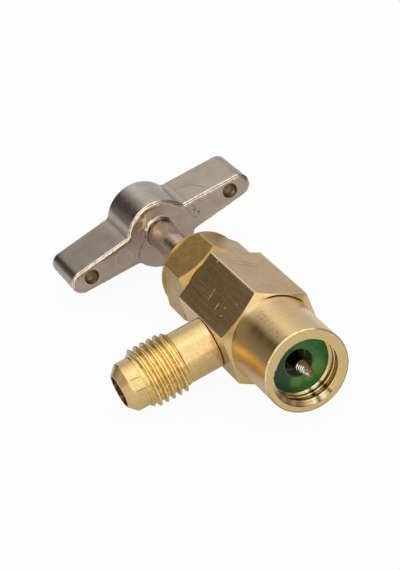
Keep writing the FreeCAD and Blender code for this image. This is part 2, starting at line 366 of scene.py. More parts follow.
# %% A bench for mixing finishes
class Finish:
    """A material with one shader, and its coordinates in millimetres and degrees."""

    def __init__(self, name, place, colour, metallic, roughness):
        self.material = bpy.data.materials.new(name)
        self.material.use_nodes = True
        self.tree = self.material.node_tree
        self.shader = self.tree.nodes["Principled BSDF"]
        self.shader.inputs["Base Color"].default_value = (*colour, 1)
        self.shader.inputs["Metallic"].default_value = metallic
        self.shader.inputs["Roughness"].default_value = roughness
        back = place.inverted()
        turned = (back.translation / MM, back.to_euler(), (1 / MM,) * 3)
        self.spot = self.add("Mapping", self.add("TexCoord", out="Object"), *turned)
        self.x, self.y, self.z = split(self.spot)
        self.radius = self.x.beside(self.y)
        self.angle = self.y.calc("ARCTAN2", self.x).calc("DEGREES")

    def add(self, kind, *given, **settings):
        return add_node(self.tree, "ShaderNode" + kind, *given, **settings)

    def flat(self, low, high, ease=0.4):
        """The share of a flat between two corners of a hexagon."""
        return self.angle.window(low - ease, low + ease, high - ease, high + ease)

    def beam(self, centre, reach):
        """A soft band along the axis, round an angle."""
        return abs(self.angle - centre).below(0.0, reach)

    def stretch(self, waves, source=None):
        """The coordinates, multiplied by a number of waves to the millimetre."""
        return self.add("VectorMath", source or self.spot, waves, operation="MULTIPLY")

    def grain(self, waves, detail=3.0, rough=0.5, shift=0.0, source=None):
        """Noise with its own number of waves to the millimetre, alike or along x, y and z."""
        waves = waves if isinstance(waves, tuple) else (waves,) * 3
        moved = self.add("VectorMath", self.stretch(waves, source), (shift,) * 3, operation="ADD")
        return self.add("TexNoise", moved, None, 1.0, detail, rough)

    def lathe_marks(self, fine, detail=3.0):
        """Rings round the axis, which change along it and across an end face."""
        along = (self.z + self.radius) * fine
        place = self.add("CombineXYZ", self.x * 0.25, self.y * 0.25, along)
        return self.grain(1.0, detail, 0.6, source=place)

    def far(self, point):
        return self.add("VectorMath", self.spot, tuple(point), operation="DISTANCE", out=1)

    def marks(self, *rows):
        """Thin scratches, each with two ends and a width, and round pits with a middle and a size.

        A scratch is where the ways to its two ends add up to hardly more than its length."""
        found = []
        for start, *ends, width in rows:
            for end in ends:
                span = (Vector(end) - Vector(start)).length
                detour = self.far(start) + self.far(end) - span
                found.append(detour.below(0.0, 2 * width * width / span))
            if not ends:
                found.append(self.far(start).below(width * 0.4, width))
        return most(found)

    def set(self, label, wire):
        self.tree.links.new(wire.socket, self.shader.inputs[label])

    def relief(self, height, strength, depth):
        """A bump of a height between 0 and 1 that stands a depth in millimetres."""
        bump = self.add("Bump")
        for label, value in (("Strength", strength), ("Distance", depth * MM)):
            bump.socket.node.inputs[label].default_value = value
        self.tree.links.new(height.socket, bump.socket.node.inputs["Height"])
        self.set("Normal", bump)

    def tell(self):
        print(self.material.name, "has", len(self.tree.nodes), "nodes")


# %% [markdown]
# ### The body's brass
#
# The body wears two finishes in one: the flats are drawn bar with stains and a few scratches, and
# all that lies towards the socket from the shoulder was turned. The shoulder is a cone, so the
# border between the two is worked out from the radius. The flat on the outlet's upper side is
# painted darker and browner, a painted reflection of the dark gap behind the tap.

# %% The marks on the body
bar = Finish("bar_and_lathe_brass", ON_MAIN, (0.60, 0.42, 0.20), 1.0, 0.3)
shoulder_line = bar.radius * SHOULDER_SLOPE + (13.03 - 8.25 * SHOULDER_SLOPE)
turned_share = (1.0 - (bar.z - shoulder_line).fade(-0.02, 0.06)) | bar.radius.below(8.2, 8.24)
drawn_lines = bar.grain((4.8, 4.8, 0.16), 3.0, 0.6)
cross_lines = bar.grain((0.35, 0.35, 3.0), 4.0, 0.65, shift=11.0)
hatch = drawn_lines.fade(0.4, 0.66) * 0.65 + cross_lines.fade(0.5, 0.72, 0.0, 0.35)
stains = bar.grain((0.45, 0.45, 0.25), 3.0, 0.55)
specks = bar.grain((2.4, 2.4, 0.9), 4.0, 0.6, shift=3.0)
rings = bar.lathe_marks(6.0, 4.0)
wide_rings = bar.lathe_marks(1.3, 3.0)
scuffs = bar.marks(
    ((3.34, 7.60, 24.1), (5.60, 6.29, 23.7), 0.08), ((4.64, 6.85, 20.5), (5.78, 6.19, 20.4), 0.12),
    ((5.85, 6.15, 17.7), 0.22), ((4.59, 6.87, 18.1), 0.2), ((0.33, 9.33, 28.5), 0.25),
    ((3.0, 7.79, 15.9), 0.16),
)
dents = bar.marks(
    ((0.97, 7.49, 9.6), 0.17), ((1.86, 7.32, 9.1), 0.16), ((1.66, 7.36, 4.6), 0.15),
    ((1.69, 7.36, 3.0), 0.18), ((-1.54, 8.64, 28.4), (-6.07, 6.02, 25.9), 0.12),
    ((-1.57, 8.62, 26.8), (-5.34, 6.44, 24.9), 0.1),
)
dots = bar.add("TexVoronoi", bar.stretch((2.3, 2.3, 1.7)), None, 1.0)
peened = bar.marks(((0.9, 7.5, 10.8), (2.1, 7.25, 1.2), 0.9)) * dots.below(0.2, 0.34)
dents = dents | peened * 0.85
bar.tell()

# %% [markdown]
# The skirt is painted pale on its upper side where it flares to the shoulder, a painted
# highlight, and a dark crease of painted shade follows its upper side. A band of the skirt is
# painted dark, a painted reflection of the dark gap behind the tap. The lip is nicked; its upper
# side is painted bright, a painted highlight, and the rest of it dark, painted shade. Deep in the
# socket light bounces from wall to wall, and narrow beams of light and dark tint stand in for what
# the photographer's tent does. The bore past the gasket is painted dark, painted shade.

# %% The body's tints
# painted highlight: the skirt painted pale on its upper side where it flares to the shoulder
shoulder_highlight = bar.z.fade(11.4, 12.8, 0.0, 0.8) * bar.radius.below(7.9, 8.0)
shoulder_highlight = shoulder_highlight * bar.angle.fade(56, 78)
# painted shade in the crease between the skirt and the shoulder
crease_shade = bar.z.fade(12.98, 13.06) * bar.radius.below(8.0, 8.14) * bar.beam(126, 46).fade(0.0, 0.6)
# painted reflection: a band of the skirt painted dark, for the dark gap behind the tap
dark_band_reflection = bar.angle.window(24, 40, 62, 74) * bar.radius.fade(7.4, 7.5)
flat_tint = coats(
    stains.stain((0.55, 0.37, 0.19), (0.65, 0.45, 0.245)),
    # painted reflection: the flat on the outlet's upper side painted darker and browner
    (bar.flat(30, 90), stains.stain((0.50, 0.305, 0.12), (0.565, 0.355, 0.145))),
    (hatch * bar.flat(90, 150).choose(0.36, 0.18), (0.68, 0.48, 0.255)),
)
turned_tint = coats(
    rings.stain((0.71, 0.50, 0.235), (0.79, 0.58, 0.285)),
    (dark_band_reflection, (0.48, 0.295, 0.115)),
    (shoulder_highlight, (0.90, 0.75, 0.49)),
    (crease_shade, (0.16, 0.09, 0.04)),
)
corners = bar.radius.fade(9.34, 9.46, 0.0, 0.85)
lip = bar.radius.fade(7.26, 7.38) * bar.z.below(0.16, 0.3)
# noise that breaks up the lip's painted highlight
lip_highlight_breaks = bar.grain(1.5, 2.0, 0.6, shift=6.0).fade(0.42, 0.58, 0.25, 1.0)
lip_highlight_tint = lip_highlight_breaks.blend((0.74, 0.54, 0.26), (1.0, 0.84, 0.56))
glare = most([bar.beam(-101, 7), bar.beam(-84, 4)])
gloom = most([bar.beam(*band) for band in ((-92, 5), (-58, 22), (-40, 24), (-22, 26), (-113, 5))])
inner_wall = bar.radius.below(6.45, 6.55) * bar.z.below(3.4, 3.6)
bar.set("Base Color", coats(
    turned_share.blend(flat_tint, turned_tint),
    (corners, (0.95, 0.76, 0.48)),
    # painted highlight on the lip's upper side, painted shade on the rest
    (lip, bar.angle.window(-20, 25, 112, 128).blend((0.42, 0.28, 0.12), lip_highlight_tint)),
    (scuffs, (0.78, 0.61, 0.38)),
    (dents * 0.8, (0.10, 0.06, 0.03)),
    (inner_wall * gloom * 0.88, (0.15, 0.095, 0.04)),
    (inner_wall * glare * 0.8, (1.0, 0.92, 0.74)),
    # painted shade: the bore past the gasket painted dark
    (bar.radius.below(2.3, 2.5) * bar.z.fade(3.0, 3.3), (0.17, 0.15, 0.10)),
))
bar.tell()

# %% The body's gloss and relief
flat_rough = scuffs.choose(hatch.fade(0.1, 0.9, 0.26, 0.31), 0.7)
turned_rough = (inner_wall * glare).choose(wide_rings.swing(0.2, 0.27), 0.4)
bar.set("Roughness", turned_share.choose(flat_rough, shoulder_highlight.choose(turned_rough, 0.34)))
drawn_height = (drawn_lines * 0.9 + specks * 0.1) * 0.35
bar.relief(turned_share.choose(drawn_height, rings * 0.55) - (dents + scuffs) * 2.0, 0.25, 0.012)
bar.tell()

# %% [markdown]
# ### The outlet's and the nut's brass
#
# The stub came bright from the lathe. Its thread's crests are painted pale and its thread carries
# yellow patches, both painted highlights; its neck carries a fine net of marks; its side away from
# the light is painted darker, painted shade; and its bore is painted dark, painted shade, with
# painted glints where light gets in. The nut is plain bar again; its upper flat is painted a
# little darker and greener, a painted reflection of the dark gap behind the tap, and its chamfers
# are painted light on one side and dark on the other, painted highlight and painted shade.

# %% The outlet's brass
stub = Finish("bright_turned_brass", ON_OUTLET, (0.78, 0.53, 0.22), 1.0, 0.2)
stub_rings = stub.lathe_marks(8.0, 4.0)
chatter = stub.grain((2.6, 2.6, 4.5), 2.0, 0.5)
# painted highlight: bright yellow patches on the thread
thread_highlight_patches = stub.grain((1.1, 1.1, 1.6), 2.0, 0.5, shift=5.0).fade(0.5, 0.6, 0.0, 0.7)
nose_ends = [[polar(4.47, math.radians(turn), z) for turn, z in zip(turns, (22.2, 24.3))]
             for turns in ((39, 42), (12, 14))]
streaks = stub.marks(*[(*ends, 0.14) for ends in nose_ends])
threaded = stub.radius.fade(4.7, 4.76)
# painted highlight: pale thread crests
crest_highlight = stub.radius.fade(5.45, 5.54) * chatter.fade(0.38, 0.6, 0.2, 0.85)
net = stub.grain((3.4, 3.4, 2.2), 2.0, 0.6, shift=3.0).fade(0.5, 0.6)
net = net * stub.radius.below(4.72, 4.76)
# painted shade on the stub's side away from the light
upper_side_shade = stub.angle.fade(62, 84, 0.0, 0.8)
# painted glints in the bore
bore_glints = stub.grain(1.3, 2.0, 0.6, shift=9.0).fade(0.52, 0.6)
stub.set("Base Color", coats(
    stub_rings.stain((0.74, 0.515, 0.22), (0.86, 0.63, 0.31)),
    (threaded, (0.77, 0.54, 0.185)),
    (threaded * thread_highlight_patches, (1.0, 0.80, 0.31)),
    (crest_highlight, (0.96, 0.87, 0.68)),
    (net * 0.3, (0.50, 0.34, 0.13)),
    (upper_side_shade, (0.42, 0.29, 0.13)),
    (streaks * 0.75, (0.30, 0.18, 0.06)),
    # painted shade: the bore painted dark, with painted glints
    (stub.radius.below(2.84, 2.9), bore_glints.blend((0.045, 0.02, 0.008), (0.20, 0.085, 0.025))),
))
stub.set("Roughness", chatter.swing(0.12, 0.24))
stub.relief((stub_rings + chatter + net) * 0.5, 0.32, 0.017)
stub.tell()

# %% The nut's brass
on_nut = ON_MAIN @ Matrix.Rotation(NUT_TURN, 4, "Z")
nut = Finish("nut_bar_brass", on_nut, (0.52, 0.35, 0.15), 1.0, 0.3)
nut_lines = nut.grain((3.0, 3.0, 0.2), 4.0, 0.6, shift=7.0)
nut_stains = nut.grain((0.8, 0.8, 0.6), 4.0, 0.6, shift=2.0)
nut_specks = nut.grain(3.0, 3.0, 0.7)
chamfered = nut.z.fade(43.3, 43.45) | (nut.z - nut.radius).below(27.66, 27.7)
nut.set("Base Color", coats(
    nut_stains.stain((0.46, 0.272, 0.10), (0.58, 0.36, 0.148)),
    # painted reflection: the upper flat painted a little darker and greener
    (nut.flat(30, 90), nut_stains.stain((0.44, 0.262, 0.066), (0.55, 0.34, 0.1))),
    (nut_lines.fade(0.36, 0.64, 0.0, 0.3), (0.40, 0.25, 0.09)),
    # painted highlight and painted shade: the chamfers light on one side, dark on the other
    (chamfered, nut.angle.fade(55, 80).blend((0.66, 0.45, 0.16), (0.38, 0.24, 0.10))),
    (nut.radius.fade(8.1, 8.17, 0.0, 0.6), (0.50, 0.34, 0.17)),
))
nut.set("Roughness", nut_specks.swing(0.22, 0.3))
nut.relief(nut_lines * 0.8 + nut_specks * 0.2, 0.12, 0.012)
nut.tell()

# %% [markdown]
# ### Plating
#
# The handle is zinc under a thin warm nickel. Plating is even in tint, so its surface shows in
# gloss: a fine orange peel and faint clouds where it was handled. Its rim carries a painted
# highlight on its two ridges and painted shade in its grooves and on its side away from the light,
# and the staked lumps round the stem carry a painted highlight. These are told apart by a number
# that the mesh carries at each point. Knocks, an ejector's ring and a rubbed smudge are drawn in
# the handle's own axes, with painted shade along a low step, in a crevice by the stem and on the
# wings' side walls, and painted glints in the holes.

# %% The marks on the handle
plating = Finish("warm_nickel_casting", ON_HANDLE, (0.46, 0.40, 0.35), 1.0, 0.25)
peel = plating.grain(2.2, 3.0, 0.6)
clouds = plating.grain(0.3, 4.0, 0.6)
grit = plating.grain(6.0, 2.0, 0.5)
lumpy = plating.grain(1.1, 3.0, 0.6, shift=2.0)
rim_highlight_breaks = plating.grain(2.0, 2.0, 0.6, shift=4.0).fade(0.4, 0.58, 0.45, 1.0)
rubbed = plating.grain(3.0, 3.0, 0.6, shift=6.0).fade(0.42, 0.58, 0.1, 0.8)
rim = plating.add("Attribute", attribute_name="painted_rim_light", out=2)
# painted highlight on the rim's ridges and on the staked lumps, broken up by noise
raised_highlight = rim.fade(0.1, 0.8) * rim_highlight_breaks
smudge = rubbed * plating.marks(
    ((-7.3, 2.4, 62.3), (-8.0, 0.2, 62.3), 0.16), ((-8.0, 0.3, 62.3), (-7.9, -1.1, 62.3), 0.12),
    ((-6.5, 1.9, 62.3), (-6.6, -0.2, 62.3), 0.1), ((-6.6, -0.1, 62.3), (-6.9, -1.0, 62.3), 0.1),
    ((-8.3, 2.2, 62.3), (-9.6, 1.2, 62.3), 0.09), ((-8.1, -0.3, 62.3), 0.42),
    ((-7.5, 0.6, 62.3), 0.3), ((-7.2, -0.8, 62.3), 0.26),
)
# the first three lines are painted shade along the low step beside the stem, the rest are scratches
scratches_and_step_shade = plating.marks(
    ((5.73, -2.1, 62.25), (5.0, -0.52, 62.25), 0.15),
    ((5.1, -0.62, 62.25), (4.0, 0.2, 62.25), 0.15),
    ((4.1, 0.12, 62.25), (3.13, 0.75, 62.25), 0.13),
    ((-1.93, 6.29, 63.8), (-3.69, 5.45, 65.2), 0.14),
    ((-3.6, 5.5, 65.1), (-4.8, 4.6, 67.2), 0.1), ((-6.3, 3.0, 68.9), (-8.23, 2.78, 68.2), 0.13),
    ((-8.1, 2.78, 68.3), (-10.12, 2.65, 67.2), 0.14),
    ((-10.05, 2.65, 67.3), (-11.92, 2.53, 63.1), 0.12),
)
ejector = plating.far((8.3, -0.2, 62.28))
pushed = plating.far((2.1, 4.0, 62.1)).below(0.8, 2.3) * plating.z.below(62.5, 62.7)
# painted shade in the crevice at the stem's upper right
crevice_shade = plating.far((-2.0, 2.3, 62.1)).fade(0.5, 1.3, 0.85, 0.0) * plating.radius.below(3.2, 3.5)
# painted shade: the wings' side walls painted darker
wing_wall = abs(plating.x).fade(6.4, 7.4) * plating.z.fade(62.7, 63.1, 0.0, 0.36)
bored = (abs(plating.x) - 15.1).beside(plating.y).below(1.44, 1.5) * plating.z.fade(62.32, 62.5)
glint = bored * plating.marks(
    ((-15.35, -1.4, 65.2), 1.0), ((-15.8, -1.2, 63.4), 0.5), ((15.4, -1.3, 64.6), 0.8),
)
webs = (abs(plating.x) - 6.5).beside(abs(plating.y) - 3.1).below(0.5, 1.3)
plating.tell()

# %% The handle's plating
plating.set("Base Color", coats(
    clouds.stain((0.40, 0.33, 0.27), (0.49, 0.415, 0.35)),
    (wing_wall, (0.27, 0.205, 0.16)),
    (plating.z.fade(62.2, 62.34, 0.6, 0.0), (0.50, 0.395, 0.295)),
    # painted highlight on the staked lumps beside the stem
    (pushed * 0.6, (0.62, 0.46, 0.30)),
    (pushed * lumpy.fade(0.48, 0.6), (1.0, 0.86, 0.66)),
    (crevice_shade, (0.10, 0.07, 0.045)),
    (ejector.fade(1.35, 1.6) * ejector.fade(1.65, 1.95, 0.3, 0.0), (0.72, 0.62, 0.50)),
    (scratches_and_step_shade * 0.7, (0.14, 0.10, 0.07)),
    (smudge, (0.08, 0.06, 0.045)),
    # painted shade in the rim's grooves and on its side away from the light
    (rim.fade(-0.7, -0.1, 0.85, 0.0), (0.16, 0.115, 0.08)),
    (raised_highlight, (1.0, 0.86, 0.70)),
    (bored, (0.52, 0.40, 0.29)),
    (glint, (1.0, 0.92, 0.80)),
))
plating.set("Metallic", glint.choose(1.0, 0.15))
rough = bored.choose(webs.choose(peel.swing(0.19, 0.27), 0.5), 0.3)
plating.set("Roughness", raised_highlight.choose(rough, grit.swing(0.12, 0.3)))
waves = peel * 0.7 + grit * 0.3 + grit * raised_highlight * 2.0
plating.relief(lumpy * pushed * 9.0 + waves, 0.25, 0.02)
plating.tell()

# %% The stem and the needle
shank = Finish("turned_stem_plate", ON_MAIN, (0.62, 0.53, 0.44), 1.0, 0.24)
shank_rings = shank.lathe_marks(5.0, 3.0)
shank.set("Base Color", shank_rings.stain((0.46, 0.375, 0.29), (0.58, 0.49, 0.40)))
shank.set("Roughness", shank_rings.swing(0.14, 0.24))
shank.relief(shank_rings, 0.25, 0.01)
steel = Finish("needle_bright_steel", ON_MAIN, (0.66, 0.60, 0.55), 1.0, 0.14)
film = steel.grain((1.1, 1.1, 1.4), 3.0, 0.6, shift=1.0)
# partly a brown film from the noise, partly painted light: a painted highlight on one side of the
# needle and a darker painted reflection on the other
film_and_side_light = (steel.x * -0.3 + film).fade(0.22, 0.42)
steel.set("Base Color", coats(
    film_and_side_light.blend((0.92, 0.88, 0.84), (0.20, 0.115, 0.05)),
    # painted shade: the needle darker towards the gasket's hole
    (steel.z.fade(1.5, 2.6), (0.10, 0.06, 0.03)),
))
steel.set("Roughness", film.swing(0.1, 0.2))
shank.tell()
steel.tell()

# %% [markdown]
# ### Rubber
#
# The gasket is moulded green rubber with a soft shine, the ring at the outlet is plain black, and
# the packing under the nut is pale. Rubber scatters light inside, so its gloss is low and wide. The
# gasket's colour carries painted shade towards one side, painted glints from the brass threads and
# a painted highlight on the lip of its hole.

# %% The rubbers
moulded = Finish("moulded_green_rubber", ON_MAIN, (0.035, 0.21, 0.06), 0.0, 0.3)
swirl = moulded.grain(0.5, 3.0, 0.5).fade(0.35, 0.65)
# painted reflection: glints of the brass threads on the gasket
thread_glints = moulded.marks(
    ((-2.83, -2.28, 3.28), 1.9), ((1.49, -3.02, 3.27), 1.5), ((-0.88, -3.42, 3.28), 1.1),
)
moulded.set("Base Color", coats(
    swirl.blend((0.034, 0.148, 0.032), (0.057, 0.205, 0.04)),
    # painted shade: the gasket darker towards one side
    (moulded.x.fade(-2.0, 4.0), (0.022, 0.072, 0.022)),
    (thread_glints * 0.75, (0.13, 0.29, 0.045)),
    # painted highlight: a light line on the lip of the gasket's hole
    (moulded.radius.fade(2.58, 2.78, 0.7, 0.0), (0.13, 0.24, 0.13)),
))
moulded.shader.inputs["Specular IOR Level"].default_value = 0.3
moulded.set("Roughness", moulded.grain(3.0, 3.0, 0.6).swing(0.22, 0.36))
moulded.relief(moulded.grain(1.5, 3.0, 0.5), 0.15, 0.02)
dark = Finish("cord_black_rubber", ON_OUTLET, (0.012, 0.011, 0.01), 0.0, 0.45)
dark.set("Roughness", dark.grain(4.0, 3.0, 0.6).swing(0.35, 0.55))
pale = Finish("pale_packing", ON_MAIN, (0.75, 0.73, 0.68), 0.0, 0.5)
pale.set("Roughness", pale.lathe_marks(3.0).swing(0.4, 0.6))
print("made", len(bpy.data.materials), "materials")

# %% [markdown]
# ## Screw threads
#
# A thread is one ridge that runs up a helix, so its shape follows a rule, and Geometry Nodes can
# write that rule down. A flat grid is bent into place: its columns go round the axis and its rows
# go across one pitch, and both push the points along. The height of the ridge at each row is read
# from a curve. At both ends the helix is cut square by clamping the height, and a lead-in takes
# the ridge down to its root, so the thread ends on plain circles that weld to the turned parts
# beside it.

# %% The thread tree
THREAD_COLUMNS = 144
V_RIDGE = [(0, 0), (0.125, 0.02), (0.1875, 0.13), (0.375, 0.86), (0.4375, 0.97), (0.5, 1)]
ACME_RIDGE = [(0, 0), (0.1875, 0), (0.21875, 0.12), (0.3125, 0.94), (0.34375, 1), (0.5, 1.02)]
THREAD_INPUTS = (
    ("Float", ("Length", "Pitch", "Root radius", "Crest radius", "Start height", "Start lead-in",
               "End height", "End lead-in", "Start turn")),
    ("Int", ("Columns", "Rows")),
    ("Material", ("Finish",)),
)
PLAIN_THREAD = {
    "Columns": THREAD_COLUMNS, "Rows": 16,
    "Start height": 0.0, "End height": 0.0, "Start turn": 0.0,
}
THREAD_WELD = 1e-6


def ridge_curve(wire, half_ridge):
    """Reads the height of a ridge from a curve, which is one half of the ridge and its mirror."""
    read = add_node(wire.tree, "ShaderNodeFloatCurve", None, wire)
    mapping = read.socket.node.mapping
    points = mapping.curves[0].points
    whole = half_ridge + [(1 - share, rise) for share, rise in half_ridge[-2::-1]]
    points[0].location, points[1].location = whole[0], whole[-1]
    for place in whole[1:-1]:
        points.new(*place)
    for point in points:
        point.handle_type = "VECTOR"
    mapping.update()
    return read


def thread_tree(name, half_ridge):
    """Geometry Nodes for a screw thread about z, from height 0 to its length."""
    tree = bpy.data.node_groups.new(name, "GeometryNodeTree")
    for kind, labels in THREAD_INPUTS:
        for label in labels:
            tree.interface.new_socket(label, in_out="INPUT", socket_type="NodeSocket" + kind)
    tree.interface.new_socket("Thread", in_out="OUTPUT", socket_type="NodeSocketGeometry")
    given = {output.name: Wire(tree, output) for output in tree.nodes.new("NodeGroupInput").outputs}
    length = given["Length"]
    turns = (length / given["Pitch"]).calc("CEIL") + 1
    across = turns * given["Columns"] + 1
    grid = add_node(tree, "GeometryNodeMeshGrid", turns, 1.0, across, given["Rows"] + 1)
    x, y = split(add_node(tree, "GeometryNodeInputPosition"))[:2]
    turn = x + turns * 0.5 - 1
    across_ridge = y + 0.5
    height = ((turn + across_ridge) * given["Pitch"] | 0).calc("MINIMUM", length)
    rise = ridge_curve(across_ridge, half_ridge)
    for end, away in (("Start", height), ("End", length - height)):
        share = away.calc("DIVIDE", given[end + " lead-in"], use_clamp=True)
        rise = given[end + " height"] + (rise - given[end + " height"]) * share
    radius = given["Root radius"] + rise * (given["Crest radius"] - given["Root radius"])
    angle = (turn + given["Start turn"]) * (2 * math.pi)
    sides = [radius * angle.calc(side) for side in ("COSINE", "SINE")]
    bent = add_node(tree, "ShaderNodeCombineXYZ", *sides, height)
    bend = add_node(tree, "GeometryNodeSetPosition", grid, None, bent)
    weld = add_node(tree, "GeometryNodeMergeByDistance", bend)
    weld.socket.node.inputs["Distance"].default_value = THREAD_WELD
    real = add_node(tree, "GeometryNodeRealizeInstances", weld)
    dressed = add_node(tree, "GeometryNodeSetMaterial", real, None, given["Finish"])
    add_node(tree, "NodeGroupOutput", dressed)
    return tree


V_THREAD = thread_tree("sixty degree thread", V_RIDGE)
ACME_THREAD = thread_tree("acme thread", ACME_RIDGE)


def add_thread(work, tree, place, start, values):
    """Adds one thread to a bmesh, from a height along a place, by the tree's named inputs."""
    holder = new_object("thread holder", bpy.data.meshes.new("empty"))
    modifier = holder.modifiers.new("thread", "NODES")
    modifier.node_group = tree
    inputs = [item for item in tree.interface.items_tree if item.in_out == "INPUT"]
    sockets = {item.name: item.identifier for item in inputs}
    for label, value in {**PLAIN_THREAD, **values}.items():
        modifier[sockets[label]] = value
    evaluated = holder.evaluated_get(bpy.context.evaluated_depsgraph_get())
    mesh = bpy.data.meshes.new_from_object(evaluated)
    bpy.data.objects.remove(holder)
    turns = round(values["Length"] / values["Pitch"], 1)
    print("a thread of", turns, "turns has", len(mesh.polygons), "faces")
    mesh.transform(place @ Matrix.Translation((0, 0, start)))
    work.from_mesh(mesh)
    bpy.data.meshes.remove(mesh)


# %% [markdown]
# ## The body
#
# The body is a length of hexagonal bar. One end was turned down to a round skirt and bored for
# the can, the other to a threaded neck. Its columns crowd at the six corners, where each edge is
# bent over a small radius, and one section runs all the way round: up the outside, down through
# the bores. The skirt flares a little towards the shoulder, and on its upper side a narrow crease
# runs between them.

# %% Columns for a hexagon
CORNER_BENDS = (-30, -15, 0, 15, 30)
BEND_GUARD = 1.3
FLAT_COLUMNS = THREAD_COLUMNS // 6 - len(CORNER_BENDS) - 2


def hexagon_columns(across, ease, turn):
    """Angles round a hexagonal bar with eased corners, and the bar's radius at each."""
    inner = (across / 2 - ease) / math.cos(math.radians(30))
    found = []
    for side in range(6):
        corner = math.radians(30 + 60 * side) + turn
        bends = []
        for bend in CORNER_BENDS:
            tilt = math.radians(bend)
            bends.append(math.atan2(ease * math.sin(tilt), inner + ease * math.cos(tilt)))
        guard = bends[-1] * BEND_GUARD
        lanes = [-guard, *bends, guard]
        wide = math.radians(60) - 2 * guard
        lanes += [guard + wide * step / (FLAT_COLUMNS + 1) for step in range(1, FLAT_COLUMNS + 1)]
        for lane in lanes:
            if abs(lane) <= bends[-1]:
                bent = math.sqrt(ease ** 2 - (inner * math.sin(lane)) ** 2)
                radius = inner * math.cos(lane) + bent
            else:
                from_flat = (lane + math.radians(30)) % math.radians(60) - math.radians(30)
                radius = across / 2 / math.cos(math.radians(30) - abs(from_flat))
            found.append((corner + lane, radius))
    return found


BODY_ACROSS = 16.5 * MM
BODY_CORNER_EASE = 0.16 * MM
body_columns = hexagon_columns(BODY_ACROSS, BODY_CORNER_EASE, 0)
widest = max(radius for angle, radius in body_columns)
print("the body has", len(body_columns), "columns and is", round(widest / MM, 3), "mm to a corner")

# %% The body's outside and bores
body_high = measure("valve_body", ON_MAIN)[1]
gasket_low, gasket_high = measure("socket_gasket", ON_MAIN)
packing_low, packing_high = measure("gland_packing", ON_MAIN)
SKIRT = 15.1 / 2 * MM
SHOULDER = 13.0 * MM
SHOULDER_START = BODY_ACROSS / 2 - 0.06 * MM
SKIRT_FLARE = [(radius * MM, height * MM) for radius, height in (
    (7.55, 8.6), (7.57, 9.8), (7.643, 11.0), (7.75, 12.0), (7.82, 12.6),
)]
FLARE_END = 7.88 * MM
CREASE_MIDDLE = math.radians(126)
CREASE_REACH = math.radians(42)
CREASE_DEPTH = 0.3 * MM
LIP_FACE = 0.25 * MM
LIP_EASE = 0.19 * MM
LIP_NICKS = 0.11 * MM
NICK_WAVES = 9
HEX_END = 31.9 * MM
NECK_RELIEF = 5.3 * MM
NECK_RELIEF_END = HEX_END + 1.2 * MM
NECK_CREST = 6.0 * MM
NECK_ROOT = 5.5 * MM
NECK_PITCH = 1.0 * MM
SOCKET_CREST = 5.65 * MM
SOCKET_PITCH = 25.4 / 16 * MM
SOCKET_START = 111
GASKET_GRIP = 1.3
POCKET = gasket_high.x
PACKING_BORE = packing_high.x
PASSAGE = 2.2 * MM
SEAT = 13.0 * MM
STEM_BORE = 4.05 * MM


def body_even(index):
    """The even angle that goes with a column of the hexagon, for the turned parts beside it."""
    return math.radians(30) + even_angle(index - len(CORNER_BENDS) // 2 - 1, len(body_columns))


def body_outside(index):
    """A column from the socket's lip over the outside to the neck's thread."""
    angle, edge = body_columns[index]
    slope = SHOULDER + (edge - BODY_ACROSS / 2) * SHOULDER_SLOPE
    creased = min(1, max(0, 2 - 2 * abs(angle - CREASE_MIDDLE) / CREASE_REACH))
    flare_foot = SHOULDER + (FLARE_END - BODY_ACROSS / 2) * SHOULDER_SLOPE + creased * CREASE_DEPTH
    nick = LIP_EASE + LIP_NICKS * noise.noise(polar(NICK_WAVES, angle, 4))
    section = eased([
        (POCKET + LIP_FACE, 0), (SKIRT, 0, nick), *SKIRT_FLARE, (FLARE_END, flare_foot),
        (SHOULDER_START, SHOULDER - 0.02 * MM), (edge, slope, 0.06 * MM),
        (edge, HEX_END, 0.12 * MM), (NECK_RELIEF, HEX_END), (NECK_RELIEF, NECK_RELIEF_END),
    ])
    start = polar(POCKET, body_even(index), 0)
    end = polar(NECK_ROOT, body_even(index), NECK_RELIEF_END)
    return [start] + [polar(radius, angle, height) for radius, height in section] + [end]


def body_bores(index):
    """A column from the neck's end down through the packing's recess, the seat and the pocket."""
    section = [
        (NECK_ROOT, body_high.z), (PACKING_BORE, body_high.z), (PACKING_BORE, packing_low.z),
        (STEM_BORE, packing_low.z), (STEM_BORE, SEAT + STEM_BORE - PASSAGE), (PASSAGE, SEAT),
        (PASSAGE, gasket_high.z), (POCKET, gasket_high.z), (POCKET, gasket_low.z),
        (POCKET - GASKET_GRIP * (POCKET - SOCKET_CREST), gasket_low.z),
    ]
    return [polar(radius, body_even(index), height) for radius, height in section]


body_work = bmesh.new()
count = len(body_columns)
add_skin(body_work, ON_MAIN, [body_outside(index) for index in range(count)], closed=False)
add_skin(body_work, ON_MAIN, [body_bores(index) for index in range(count)], closed=False)
add_thread(body_work, ACME_THREAD, ON_MAIN, 0, {
    "Length": gasket_low.z, "Pitch": SOCKET_PITCH, "Root radius": POCKET,
    "Crest radius": SOCKET_CREST, "Start lead-in": 0.01 * MM,
    "End height": GASKET_GRIP, "End lead-in": 0.5 * MM,
    "Start turn": SOCKET_START / THREAD_COLUMNS, "Rows": 32,
})
add_thread(body_work, V_THREAD, ON_MAIN, NECK_RELIEF_END, {
    "Length": body_high.z - NECK_RELIEF_END, "Pitch": NECK_PITCH, "Root radius": NECK_ROOT,
    "Crest radius": NECK_CREST, "Start lead-in": 0.4 * MM, "End lead-in": 0.5 * MM,
})
body_solid = finish(body_work, "body_solid")

# %% [markdown]
# The outlet's stub sits in a stepped hole in one flat. The hole meets the bores inside the body,
# and such a crossing is best left to a Boolean: the cutter is one more turned skin.

